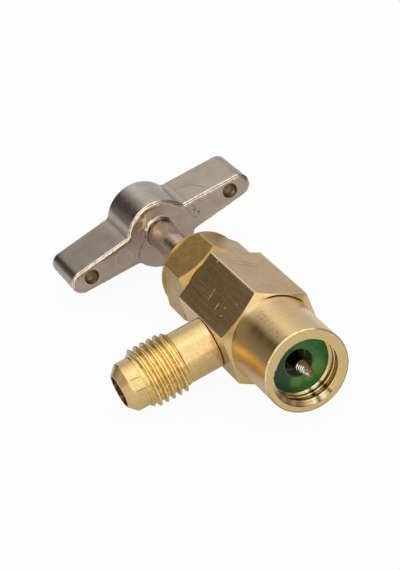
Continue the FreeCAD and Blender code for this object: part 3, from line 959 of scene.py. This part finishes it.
# %% Bore the body for the outlet
stub_low, stub_high = measure("outlet_fitting", ON_OUTLET)
STUB_TAIL = 3.9 * MM
STUB_BORE = 2.5 * MM
cutter_work = bmesh.new()
add_turned(cutter_work, ON_OUTLET, [
    (0, 0), (STUB_BORE, 0), (STUB_BORE, stub_low.z), (STUB_TAIL, stub_low.z),
    (STUB_TAIL, BODY_ACROSS), (0, BODY_ACROSS),
], 96, closed=False)
cutter = finish(cutter_work, "cutter")
crossing = body_solid.modifiers.new("crossing", "BOOLEAN")
crossing.operation = "DIFFERENCE"
crossing.solver = "EXACT"
crossing.object = cutter
bored_body = body_solid.evaluated_get(bpy.context.evaluated_depsgraph_get())
bored_mesh = bpy.data.meshes.new_from_object(bored_body)
bpy.data.objects.remove(body_solid)
bpy.data.objects.remove(cutter)
bored_work = bmesh.new()
bored_work.from_mesh(bored_mesh)
valve_body = finish(bored_work, "body_of_brass")
dress(valve_body, "valve_body", "tap_body", bar)

# %% [markdown]
# ## The outlet
#
# The stub is a quarter inch flare fitting. Its nose is a short cylinder that ends in a 45 degree
# cone, which seals against a flared tube or a hose. Twenty turns to the inch follow, cut down to
# a root a little above the plain neck.

# %% The outlet's stub
STUB_ROOT = 8.34 * MM
STUB_NECK = 4.65 * MM
STUB_THREAD_START = 14.6 * MM
STUB_THREAD_END = 22.2 * MM
STUB_THREAD_CREST = 11.112 / 2 * MM
STUB_THREAD_ROOT = 4.78 * MM
STUB_PITCH = 25.4 / 20 * MM
STUB_START = 69
STUB_NOSE = 4.47 * MM
STUB_CONE_FOOT = 24.6 * MM
STUB_TIP = 3.08 * MM
STUB_MOUTH = 2.83 * MM
stub_work = bmesh.new()
add_turned(stub_work, ON_OUTLET, [
    (STUB_THREAD_ROOT, STUB_THREAD_END), (STUB_NOSE, STUB_THREAD_END),
    (STUB_NOSE, STUB_CONE_FOOT, 0.18 * MM), (STUB_TIP, stub_high.z, 0.1 * MM),
    (STUB_MOUTH, stub_high.z, 0.05 * MM), (STUB_BORE, stub_high.z - 1.0 * MM, 0.2 * MM),
    (STUB_BORE, stub_low.z), (STUB_TAIL, stub_low.z), (STUB_TAIL, STUB_ROOT),
    (STUB_NECK, STUB_ROOT, 0.08 * MM), (STUB_NECK, STUB_THREAD_START),
    (STUB_THREAD_ROOT, STUB_THREAD_START),
], THREAD_COLUMNS, closed=False)
add_thread(stub_work, V_THREAD, ON_OUTLET, STUB_THREAD_START, {
    "Length": STUB_THREAD_END - STUB_THREAD_START, "Pitch": STUB_PITCH,
    "Root radius": STUB_THREAD_ROOT, "Crest radius": STUB_THREAD_CREST,
    "Start lead-in": 0.9 * MM, "End lead-in": 0.75 * MM,
    "Start turn": STUB_START / THREAD_COLUMNS,
})
outlet_stub = finish(stub_work, "outlet_stub")
dress(outlet_stub, "outlet_fitting", "tap_body", stub)

# %% The black ring at the stub's root
seal_low = measure("outlet_seal", ON_OUTLET)[0]
seal_work = bmesh.new()
add_turned(seal_work, ON_OUTLET, [
    (STUB_TAIL, seal_low.z), (STUB_NECK, seal_low.z, 0.05 * MM), (STUB_NECK - 0.1 * MM, STUB_ROOT),
    (STUB_TAIL, STUB_ROOT),
], 96)
outlet_ring = finish(seal_work, "outlet_ring")
dress(outlet_ring, "outlet_seal", "tap_body", dark)

# %% [markdown]
# ## The gland nut
#
# A smaller hexagon that presses the packing round the stem. Both ends are chamfered, and a round
# collar stands on the handle's side. A chamfer is a cone, and where it cuts the flats it leaves
# the curved edges that every nut has. So each column's chamfer ends where the cone reaches that
# column's own radius.

# %% The nut
NUT_ACROSS = 14.35 * MM
NUT_FLAT = NUT_ACROSS / 2
NUT_FACE = NUT_FLAT * 0.95
NUT_COLLAR = 7.5 * MM
nut_low, nut_high = measure("gland_nut", ON_MAIN)
NUT_COLLAR_FOOT = nut_high.z - 0.7 * MM
NUT_BORE = 2.75 * MM
NUT_THREAD = 6.05 * MM
NUT_CEILING = nut_high.z - 3.4 * MM
nut_work = bmesh.new()
nut_skin = []
for nut_angle, nut_radius in hexagon_columns(NUT_ACROSS, 0.3 * MM, NUT_TURN):
    nut_skin.append([polar(radius, nut_angle, height) for radius, height in eased([
        (NUT_THREAD, nut_low.z, 0.15 * MM), (NUT_FACE, nut_low.z, 0.06 * MM),
        (nut_radius, nut_low.z + nut_radius - NUT_FACE, 0.06 * MM),
        (nut_radius, NUT_COLLAR_FOOT - (nut_radius - NUT_FLAT) * 1.02, 0.06 * MM),
        (NUT_FLAT - 0.03 * MM, NUT_COLLAR_FOOT),
        (NUT_COLLAR, NUT_COLLAR_FOOT + 0.12 * MM, 0.06 * MM),
        (NUT_COLLAR, nut_high.z - 0.2 * MM, 0.06 * MM),
        (NUT_COLLAR - 0.2 * MM, nut_high.z, 0.06 * MM),
        (NUT_BORE, nut_high.z, 0.12 * MM), (NUT_BORE, NUT_CEILING), (NUT_THREAD, NUT_CEILING),
    ])])
add_skin(nut_work, ON_MAIN, nut_skin, closed=True)
gland_nut = finish(nut_work, "nut_of_brass")
dress(gland_nut, "gland_nut", "tap_body", nut)

# %% [markdown]
# ## The stem, its needle and the gasket
#
# The stem is one long turned rod. A short operating thread hides inside the body, and at its foot
# stands the needle that opens the can, ridged like a small file where it shows. The gasket round
# it is a plain ring of green rubber with a raised lip at its hole.

# %% The stem
stem_low, stem_high = measure("stem", ON_MAIN)
needle_low, needle_high = measure("piercing_needle", ON_MAIN)
washer_low, washer_high = measure("seat_washer", ON_MAIN)
SHANK = 2.7 * MM
NOSE = 2.0 * MM
WASHER_SEAT = NOSE - 0.35 * MM
NEEDLE = 1.35 * MM
STEM_THREAD_ROOT = 3.4 * MM
STEM_THREAD_FOOT = 24.6 * MM
STEM_THREAD_TOP = 28.8 * MM
STEM_THREAD_CREST = stem_high.x
STEM_PITCH = 1.0 * MM
stem_work = bmesh.new()
add_turned(stem_work, ON_MAIN, [
    (STEM_THREAD_ROOT, STEM_THREAD_TOP), (SHANK, STEM_THREAD_TOP), (SHANK, stem_high.z, 0.2 * MM),
    (0, stem_high.z),
], THREAD_COLUMNS, closed=False)
add_turned(stem_work, ON_MAIN, [
    (0, needle_high.z), (NEEDLE, needle_high.z), (NEEDLE, stem_low.z), (NOSE, stem_low.z, 0.2 * MM),
    (NOSE, washer_low.z), (WASHER_SEAT, washer_low.z), (WASHER_SEAT, washer_high.z),
    (SHANK, washer_high.z, 0.1 * MM), (SHANK, STEM_THREAD_FOOT),
    (STEM_THREAD_ROOT, STEM_THREAD_FOOT),
], THREAD_COLUMNS, closed=False)
add_thread(stem_work, V_THREAD, ON_MAIN, STEM_THREAD_FOOT, {
    "Length": STEM_THREAD_TOP - STEM_THREAD_FOOT, "Pitch": STEM_PITCH,
    "Root radius": STEM_THREAD_ROOT, "Crest radius": STEM_THREAD_CREST,
    "Start lead-in": 0.8 * MM, "End lead-in": 0.4 * MM,
})
stem_rod = finish(stem_work, "stem_rod")
dress(stem_rod, "stem", "stem_and_handle", shank)

# %% The needle
NEEDLE_POINT = 0.5 * MM
NEEDLE_BLUNTING = 0.17 * MM
NEEDLE_SHOULDER = needle_low.z + 3.2 * MM
NEEDLE_RIDGES = 7
RIDGE_STEPS = 8
needle_section = [(0, needle_low.z), (NEEDLE_POINT * 0.84, needle_low.z)]
for step in range(NEEDLE_RIDGES * RIDGE_STEPS + 1):
    along = step / (NEEDLE_RIDGES * RIDGE_STEPS)
    height = needle_low.z + 0.1 * MM + along * (NEEDLE_SHOULDER - needle_low.z - 0.1 * MM)
    radius = NEEDLE_POINT + along * (NEEDLE - NEEDLE_POINT) + NEEDLE_BLUNTING * (1 - along) ** 3
    dip = 0.06 * MM * (1 + math.cos(2 * math.pi * step / RIDGE_STEPS))
    needle_section.append((radius - dip, height))
needle_section += [(NEEDLE, needle_high.z), (0, needle_high.z)]
needle_work = bmesh.new()
add_turned(needle_work, ON_MAIN, needle_section, 64, closed=False)
needle = finish(needle_work, "needle", sharp_angle=50)
dress(needle, "piercing_needle", "stem_and_handle", steel)

# %% The gasket
GASKET_HOLE = 2.5 * MM
GASKET_FACE = gasket_low.z + 0.1 * MM
GASKET_SWELL = [(4.6, 0.0), (4.1, 0.02), (3.7, 0.055), (3.4, 0.07), (3.1, 0.055)]
gasket_work = bmesh.new()
add_turned(gasket_work, ON_MAIN, [
    (GASKET_HOLE, gasket_high.z), (POCKET, gasket_high.z), (POCKET, GASKET_FACE),
    *[(radius * MM, GASKET_FACE - swell * MM) for radius, swell in GASKET_SWELL],
    (GASKET_HOLE + 0.24 * MM, GASKET_FACE - 0.01 * MM, 0.05 * MM),
    (GASKET_HOLE + 0.18 * MM, gasket_low.z, 0.04 * MM),
    (GASKET_HOLE + 0.06 * MM, gasket_low.z, 0.04 * MM),
    (GASKET_HOLE, gasket_low.z + 0.15 * MM, 0.06 * MM),
], 128)
gasket = finish(gasket_work, "gasket", sharp_angle=60)
dress(gasket, "socket_gasket", "tap_body", moulded)

# %% [markdown]
# ## The T-handle
#
# The handle is a small die casting: a boss with two tapering wings, all with draft so that it
# left its mould. In plan its edge is arcs and straight lines that run into each other, so every
# point of that edge has one clear outward normal. Rows of points are then the same edge moved in
# along its normals, and the rim, the drafted wall and the rounded back are just a list of insets
# and depths.

# %% The handle's edge in plan
handle_low, handle_high = measure("t_handle", ON_MAIN)
HANDLE_FRONT = handle_low.z + 0.5 * MM
HANDLE_DRAFT = math.tan(math.radians(0.4))
BOSS = 6.6 * MM
WING_END = 2.2 * MM
WING_MIDDLE = 19.2 * MM - WING_END
WING_ROOT = 2.9 * MM
WEB = 0.9 * MM
HOLE_PLACE = 15.1 * MM
HOLE = 1.425 * MM
TIP_STEPS, LINE_STEPS, WEB_STEPS, BOSS_STEPS = 12, 32, 6, 15


def arc(middle, radius, start, end, steps):
    """Points on an arc with their outward normals, without the last point."""
    found = []
    for step in range(steps):
        out = polar(1, start + (end - start) * step / steps, 0).xy
        found.append((middle + out * radius, out))
    return found


def quarter_edge():
    """One quarter of the edge, from a wing's tip to the boss's top, as points with normals."""
    run = WING_MIDDLE - BOSS
    taper = math.acos(WING_END / math.hypot(WING_ROOT, run)) - math.atan2(run, WING_ROOT)
    normal = Vector((math.sin(taper), math.cos(taper)))
    along = Vector((-math.cos(taper), math.sin(taper)))
    reach = WING_MIDDLE * math.sin(taper) + WING_END
    web_middle = normal * (reach + WEB) - along * math.sqrt((BOSS + WEB) ** 2 - (reach + WEB) ** 2)
    boss_start = math.atan2(web_middle.y, web_middle.x)
    line_start = Vector((WING_MIDDLE, 0)) + normal * WING_END
    line_end = web_middle - normal * WEB
    upright = math.pi / 2
    tip = arc(Vector((WING_MIDDLE, 0)), WING_END, 0, upright - taper, TIP_STEPS)
    line = [(line_start.lerp(line_end, k / LINE_STEPS), normal) for k in range(LINE_STEPS)]
    web = arc(web_middle, -WEB, upright - taper, boss_start, WEB_STEPS)
    return tip + line + web + arc(Vector((0, 0)), BOSS, boss_start, upright, BOSS_STEPS)


quarter = quarter_edge()
mirrored = [(Vector((-p.x, p.y)), Vector((-n.x, n.y))) for p, n in quarter]
top = quarter + [(Vector((0, BOSS)), Vector((0, 1)))] + mirrored[:0:-1]
handle_edge = top + [(-p, -n) for p, n in top]
print("the handle's edge has", len(handle_edge), "points")

# %% The handle's rim, wall and back
RIM_PROFILE = (
    (0.68, 0.0, 0.0), (0.62, 0.05, 0.3), (0.57, 0.04, 0.8), (0.53, -0.03, 1.0), (0.47, -0.1, 1.0),
    (0.41, -0.07, 1.0), (0.35, 0.03, 0.8), (0.28, 0.08, 0.6), (0.2, 0.05, 0.8), (0.13, -0.02, 1.0),
    (0.07, 0.0, 1.0), (0.02, 0.1, 1.0), (0.0, 0.25, 0.4), (0.01, 0.42, 0.0),
)
RIM_LIGHTING = (
    (0.0, 0.5), (0.07, 1.0), (0.13, 0.9), (0.2, -0.1), (0.28, -0.7), (0.35, -0.2),
    (0.41, 0.9), (0.53, 1.0), (0.57, 0.0), (0.62, -0.6), (0.68, -0.2), (0.75, 0.0),
)
BACK_ROUND = 0.3 * MM


def clamp(value):
    return max(0.0, min(1.0, value))


def facing_up(out):
    """Only the edges that face up get a double ridge and its painted highlight, and the lower ones
    stay plain.
    """
    return clamp((out.y + 0.25) / 0.4)


def ripple(point, size):
    """Noise in plan with waves of a size in millimetres."""
    return noise.noise(Vector((point.x, point.y, 0)) / (size * MM))


def handle_column(index):
    """One column of the handle's side, from the front face to the back face."""
    point, out = handle_edge[index]
    rough = ripple(point, 0.55) * 0.08
    chip = ripple(point, 0.33) * 0.13 * facing_up(out)
    raised = 0.1 + 0.9 * facing_up(out)
    column = []
    for inset, depth, share in RIM_PROFILE:
        depth = depth * raised if inset > 0.05 else depth
        spot = point - out * (inset + rough * share) * MM
        lift = (depth - (abs(rough) + chip) * share) * MM
        column.append(Vector((spot.x, spot.y, HANDLE_FRONT + lift)))
    depth = handle_high.z - HANDLE_FRONT
    for share in (0.15, 0.4, 0.65, 0.85):
        spot = point - out * HANDLE_DRAFT * depth * share
        column.append(Vector((spot.x, spot.y, HANDLE_FRONT + depth * share)))
    for step in range(7):
        turn = math.pi / 2 * step / 6
        inset = HANDLE_DRAFT * depth + BACK_ROUND * (1 - math.cos(turn))
        spot = point - out * inset
        column.append(Vector((spot.x, spot.y, handle_high.z - BACK_ROUND * (1 - math.sin(turn)))))
    spot = point - out * (HANDLE_DRAFT * depth + BACK_ROUND * 1.06)
    column.append(Vector((spot.x, spot.y, handle_high.z)))
    return column


handle_work = bmesh.new()
handle_skin = [handle_column(index) for index in range(len(handle_edge))]
add_skin(handle_work, ON_HANDLE, handle_skin, closed=False)


# %% Flat faces with holes
def within(point, loop):
    """Whether a point in plan lies inside a loop."""
    inside = False
    for index, a in enumerate(loop):
        b = loop[index - 1]
        if (a.y > point.y) != (b.y > point.y):
            crossing_x = (b.x - a.x) * (point.y - a.y) / (b.y - a.y) + a.x
            inside = inside != (point.x < crossing_x)
    return inside


def on_face(point, rim, holes):
    return within(point, rim) and not any(within(point, hole) for hole in holes)


def add_face(work, place, rim, holes, height, relief, spacing):
    """Fills a loop with triangles round its holes, and lifts the inner points by a relief."""
    loops = [rim] + holes
    points = [point for loop in loops for point in loop]
    edges = []
    start = 0
    for loop in loops:
        edges += [(start + k, start + (k + 1) % len(loop)) for k in range(len(loop))]
        start += len(loop)
    fixed = len(points)
    wide = max(point.x for point in rim)
    deep = max(point.y for point in rim)
    for column in range(int(-wide / spacing), int(wide / spacing) + 1):
        for row in range(int(-deep / spacing) - 1, int(deep / spacing) + 2):
            point = Vector((column + 0.5 * (row % 2), row)) * spacing
            clear = min((point - other).length for other in points[:fixed])
            if clear > spacing * 0.6 and on_face(point, rim, holes):
                points.append(point)
    found = delaunay_2d_cdt([point / MM for point in points], edges, [], 1, 1e-6)
    flat, faces, sources = [point * MM for point in found[0]], found[2], found[3]
    made = []
    for point, source in zip(flat, sources):
        lift = 0 if source and min(source) < fixed else relief(point)
        made.append(work.verts.new(place @ Vector((point.x, point.y, height + lift))))
    for face in faces:
        middle = sum((flat[k] for k in face), Vector((0, 0))) / len(face)
        if on_face(middle, rim, holes):
            work.faces.new([made[k] for k in face])


def circle(middle_x, radius, count):
    return [Vector((middle_x, 0)) + polar(radius, even_angle(k, count), 0).xy for k in range(count)]


# %% The handle's front, back, holes and collar
HOLE_COLUMNS = 48
COLLAR_COLUMNS = 120
COLLAR = 3.9 * MM
HOLE_FRONT_EASE = 0.1 * MM
HOLE_BACK_EASE = 0.06 * MM
WAVE_SIZE, WAVE_HEIGHT = 2.2, 0.02 * MM
EJECTOR, EJECTOR_RADIUS = Vector((8.3 * MM, -0.2 * MM)), 1.62 * MM
EJECTOR_LINE, EJECTOR_DEPTH = 0.2 * MM, 0.04 * MM
STEP_PLACE, STEP_WAY = Vector((4.5 * MM, -0.35 * MM)), Vector((0.76, 0.65))
STEP_SLOPE, STEP_DEPTH = 0.25 * MM, 0.05 * MM
STEP_MIDDLE, STEP_REACH = 2.5 * MM, 4.5 * MM
PUSHED, PUSHED_REACH, PUSHED_DEPTH = Vector((2.1, 4.2)) * MM, 1.2 * MM, 0.16 * MM
PUSHED_LUMPS = 0.7


def front_relief(point):
    """Waves of the casting, a faint ejector mark on one wing and a low step beside the stem."""
    wave = ripple(point, WAVE_SIZE) * WAVE_HEIGHT
    mark = ((point - EJECTOR).length - EJECTOR_RADIUS) / EJECTOR_LINE
    ring = -EJECTOR_DEPTH * math.exp(-mark ** 2)
    across = (point - STEP_PLACE).dot(STEP_WAY) / STEP_SLOPE
    step = -STEP_DEPTH * (1 - math.tanh(across)) if point.x > 0 else -2 * STEP_DEPTH
    beside = max(0.0, 1 - abs(point.x - STEP_MIDDLE) / STEP_REACH)
    pushed = math.exp(-((point - PUSHED).length / PUSHED_REACH) ** 2)
    lumps = 0.5 + ripple(point, PUSHED_LUMPS)
    return wave + ring + step * beside - PUSHED_DEPTH * pushed * lumps


front_rim = [column[0].xy for column in handle_skin]
back_rim = [column[-1].xy for column in handle_skin]
FRONT_HOLE = HOLE + HOLE_FRONT_EASE * GUARD
BACK_HOLE = HOLE + HOLE_BACK_EASE * GUARD
front_holes, back_holes = [
    [circle(side * HOLE_PLACE, radius, HOLE_COLUMNS) for side in (1, -1)]
    for radius in (FRONT_HOLE, BACK_HOLE)
]
front_holes.append(circle(0, COLLAR, COLLAR_COLUMNS))
add_face(handle_work, ON_HANDLE, front_rim, front_holes, HANDLE_FRONT, front_relief, 0.45 * MM)
add_face(handle_work, ON_HANDLE, back_rim, back_holes, handle_high.z, lambda point: 0, 1.2 * MM)
for side in (1, -1):
    place = ON_HANDLE @ Matrix.Translation((side * HOLE_PLACE, 0, 0))
    add_turned(handle_work, place, [
        (FRONT_HOLE, HANDLE_FRONT), (HOLE, HANDLE_FRONT, HOLE_FRONT_EASE),
        (HOLE, handle_high.z, HOLE_BACK_EASE), (BACK_HOLE, handle_high.z),
    ], HOLE_COLUMNS, closed=False)


STAKING_WAVES = 2.1
STAKING_SIDE = math.radians(62)
STAKING_SPREAD = 0.62
STAKING_PUSH = 0.14 * MM


def staked(radius, angle, height):
    """Metal pushed up in lumps by a staking tool, mostly on the stem's upper left."""
    if height > HANDLE_FRONT + 1e-9 or radius > COLLAR - 0.01 * MM or radius < SHANK + 0.01 * MM:
        return radius, height
    around = polar(STAKING_WAVES, angle, radius / MM * 1.4)
    lump = noise.noise(around) + 0.5 * noise.noise(around * 2.7)
    raised = 0.12 + 0.88 * math.exp(-((angle - STAKING_SIDE) / STAKING_SPREAD) ** 2)
    raised *= min(1.25, 0.8 + 1.4 * lump)
    return radius + STAKING_PUSH * lump, HANDLE_FRONT + (height - HANDLE_FRONT) * raised


STAKED_RING = (
    (3.75, 0.03), (3.6, 0.12), (3.45, 0.24), (3.3, 0.32), (3.15, 0.36), (3.0, 0.34),
    (2.88, 0.26), (2.78, 0.18),
)
add_turned(handle_work, ON_HANDLE, [
    (COLLAR, HANDLE_FRONT),
    *[(radius * MM, HANDLE_FRONT - raised * MM) for radius, raised in STAKED_RING],
    (SHANK, HANDLE_FRONT + 0.05 * MM), (SHANK, stem_high.z), (0, stem_high.z),
], COLLAR_COLUMNS, closed=False, shape=staked)
t_handle = finish(handle_work, "cast_handle", sharp_angle=40)

# %% Mark the rim's painted highlight and painted shade
edge_tree = KDTree(len(handle_edge))
for index, (point, out) in enumerate(handle_edge):
    edge_tree.insert((point.x, point.y, 0), index)
edge_tree.balance()


def rim_lighting(away):
    """The rim's painted light at an inset: a painted highlight on its two ridges, painted shade in
    the grooves.
    """
    for (low, start), (high, end) in zip(RIM_LIGHTING, RIM_LIGHTING[1:]):
        if away < high * MM:
            return start + (end - start) * max(0.0, away / MM - low) / (high - low)
    return 0.0


painted = t_handle.data.attributes.new("painted_rim_light", "FLOAT", "POINT")
to_handle = ON_HANDLE.inverted()
for index, vertex in enumerate(t_handle.data.vertices):
    spot = to_handle @ vertex.co
    found, away = edge_tree.find((spot.x, spot.y, 0))[1:]
    out = handle_edge[found][1]
    # painted shade: on edges that face away from the light the ridges turn dark
    shaded = clamp((-0.3 - out.x) / 0.15)
    below = max(0.0, spot.z - HANDLE_FRONT) / (0.36 * MM)
    ridge = rim_lighting(away)
    # painted highlight: a bright band along the rim of one wing
    if spot.x > 0 and 0.05 * MM < away < 0.56 * MM:
        ridge = max(ridge, 0.62)
    ridge += shaded * (-0.75 * abs(ridge) - ridge)
    rim_share = ridge * max(0.0, 1 - below ** 2) * facing_up(out)
    standing = clamp((HANDLE_FRONT - spot.z - 0.06 * MM) / (0.2 * MM))
    near_stem = spot.xy.length < COLLAR
    # painted highlight on the staked lumps round the stem
    painted.data[index].value = 0.55 * standing if near_stem else rim_share
print("the worn rim touches", sum(1 for value in painted.data if value.value > 0.3), "points")
dress(t_handle, "t_handle", "stem_and_handle", plating)

# %% [markdown]
# ## The hidden rings
#
# Three small rings never show from outside: the washer and the packing under the nut, and the
# seat washer on the stem. Their solids are already the right shape, so they stay and only get a
# finish.

# %% Finish the hidden rings
for node, worn_finish in (("gland_washer", nut), ("gland_packing", pale), ("seat_washer", dark)):
    for place in frame["nodes"][node].material_slots:
        place.link = "OBJECT"
        place.material = worn_finish.material
    print(node, "keeps its solid and wears", worn_finish.material.name)

# %% [markdown]
# ## The studio
#
# The tap lies on a white sheet in a light tent. Metal shows what is round it, so the sky has the
# tent's tones: brightest overhead and behind the camera, a greyer side wall beyond the outlet,
# and a dark gap in the wall behind the tap, which gives the brown flat and the dark bands their
# depth. Directions come from the world's own coordinates, as an azimuth from +Y and an elevation.

# %% The sky
OVERHEAD = 1.22
BACK_WALL = 1.0
FAR_WALL = 0.66
SIDE_WALL = 0.5
GAP = 0.05
LOW_FRONT = 0.2
world = bpy.data.worlds.new("tent")
bpy.context.scene.world = world
world.use_nodes = True
tent = world.node_tree
east, north, up = split(add_node(tent, "ShaderNodeTexCoord", out="Generated"))
azimuth = east.calc("ARCTAN2", north).calc("DEGREES")
elevation = up.calc("ARCSINE").calc("DEGREES")
side = azimuth.window(-110, -90, -8, 6)
wall = side.choose(azimuth.fade(2, 36, BACK_WALL, FAR_WALL), SIDE_WALL)
level = (azimuth.window(-140, -100, 60, 130) * elevation.below(34, 58)).choose(OVERHEAD, wall)
level = (azimuth.window(-37, -26, -14, -4) * elevation.below(25, 32)).choose(level, GAP)
level = (azimuth.window(92, 108, 140, 152) * elevation.below(6, 18)).choose(level, LOW_FRONT)
seen = add_node(tent, "ShaderNodeLightPath", out="Is Camera Ray")
seen = seen | add_node(tent, "ShaderNodeLightPath", out="Is Transmission Ray")
background = tent.nodes["Background"]
background.inputs["Color"].default_value = (1, 1, 1, 1)
tent.links.new(seen.choose(level, 1.0).socket, background.inputs["Strength"])
print("the tent's sky has", len(tent.nodes), "nodes")

# %% [markdown]
# The sheet is nearly white paper. For the camera and in the metal it mostly glows at exactly
# white, as an overexposed sheet does, and a small share of plain paper keeps the soft shadow
# under the tap.

# %% The sheet under the tap
SHEET_REACH = 0.3
SEEN_GLOW = 0.95
MIRRORED_GLOW = 0.3
sheet_mesh = bpy.data.meshes.new("sheet")
sheet_corners = [(-1, -1), (1, -1), (1, 1), (-1, 1)]
sheet_mesh.from_pydata(
    [(x * SHEET_REACH, y * SHEET_REACH, cad_low.z) for x, y in sheet_corners], [], [(0, 1, 2, 3)],
)
sheet = new_object("sheet", sheet_mesh)
sheet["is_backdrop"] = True
paper = bpy.data.materials.new("white_paper")
paper.use_nodes = True
fibre = paper.node_tree.nodes["Principled BSDF"]
fibre.inputs["Base Color"].default_value = (0.63, 0.63, 0.63, 1)
fibre.inputs["Roughness"].default_value = 0.9
sheet_tree = paper.node_tree
seen = add_node(sheet_tree, "ShaderNodeLightPath", out="Is Camera Ray")
mirrored = add_node(sheet_tree, "ShaderNodeLightPath", out="Is Glossy Ray")
glow = add_node(sheet_tree, "ShaderNodeEmission", None, 1.0)
share = mirrored * MIRRORED_GLOW + seen * SEEN_GLOW
mixed = add_node(sheet_tree, "ShaderNodeMixShader", share, Wire(sheet_tree, fibre.outputs[0]), glow)
sheet_tree.links.new(mixed.socket, sheet_tree.nodes["Material Output"].inputs["Surface"])
sheet_mesh.materials.append(paper)
print("the sheet lies at", round(cad_low.z / MM, 2), "mm")

# %% [markdown]
# One soft lamp hangs over the tap and a little in front of it, and gives the shadow its side. It
# is weak, because the tent's own light does most of the work.

# %% The lamp
LAMP_PLACE = Vector((0.02, -0.12, 0.6))
LAMP_AIM = Vector((0, 0.03, 0))
lamp_data = bpy.data.lights.new("overhead", "AREA")
lamp_data.shape = "RECTANGLE"
lamp_data.size = 0.35
lamp_data.size_y = 0.25
lamp_data.energy = 0.08
lamp = new_object("overhead", lamp_data)
lamp.matrix_world = look_at(LAMP_PLACE, LAMP_AIM)
bpy.context.scene.view_settings.view_transform = "Standard"
print("the lamp hangs", round((LAMP_PLACE - LAMP_AIM).length / MM), "mm away")

# %% Measure the sizes against the solids and finish
dressed_low, dressed_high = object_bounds()
changes = zip([*dressed_low, *dressed_high], [*cad_low, *cad_high])
print("the dressed tap differs by", [round((a - b) / MM, 3) for a, b in changes], "mm")
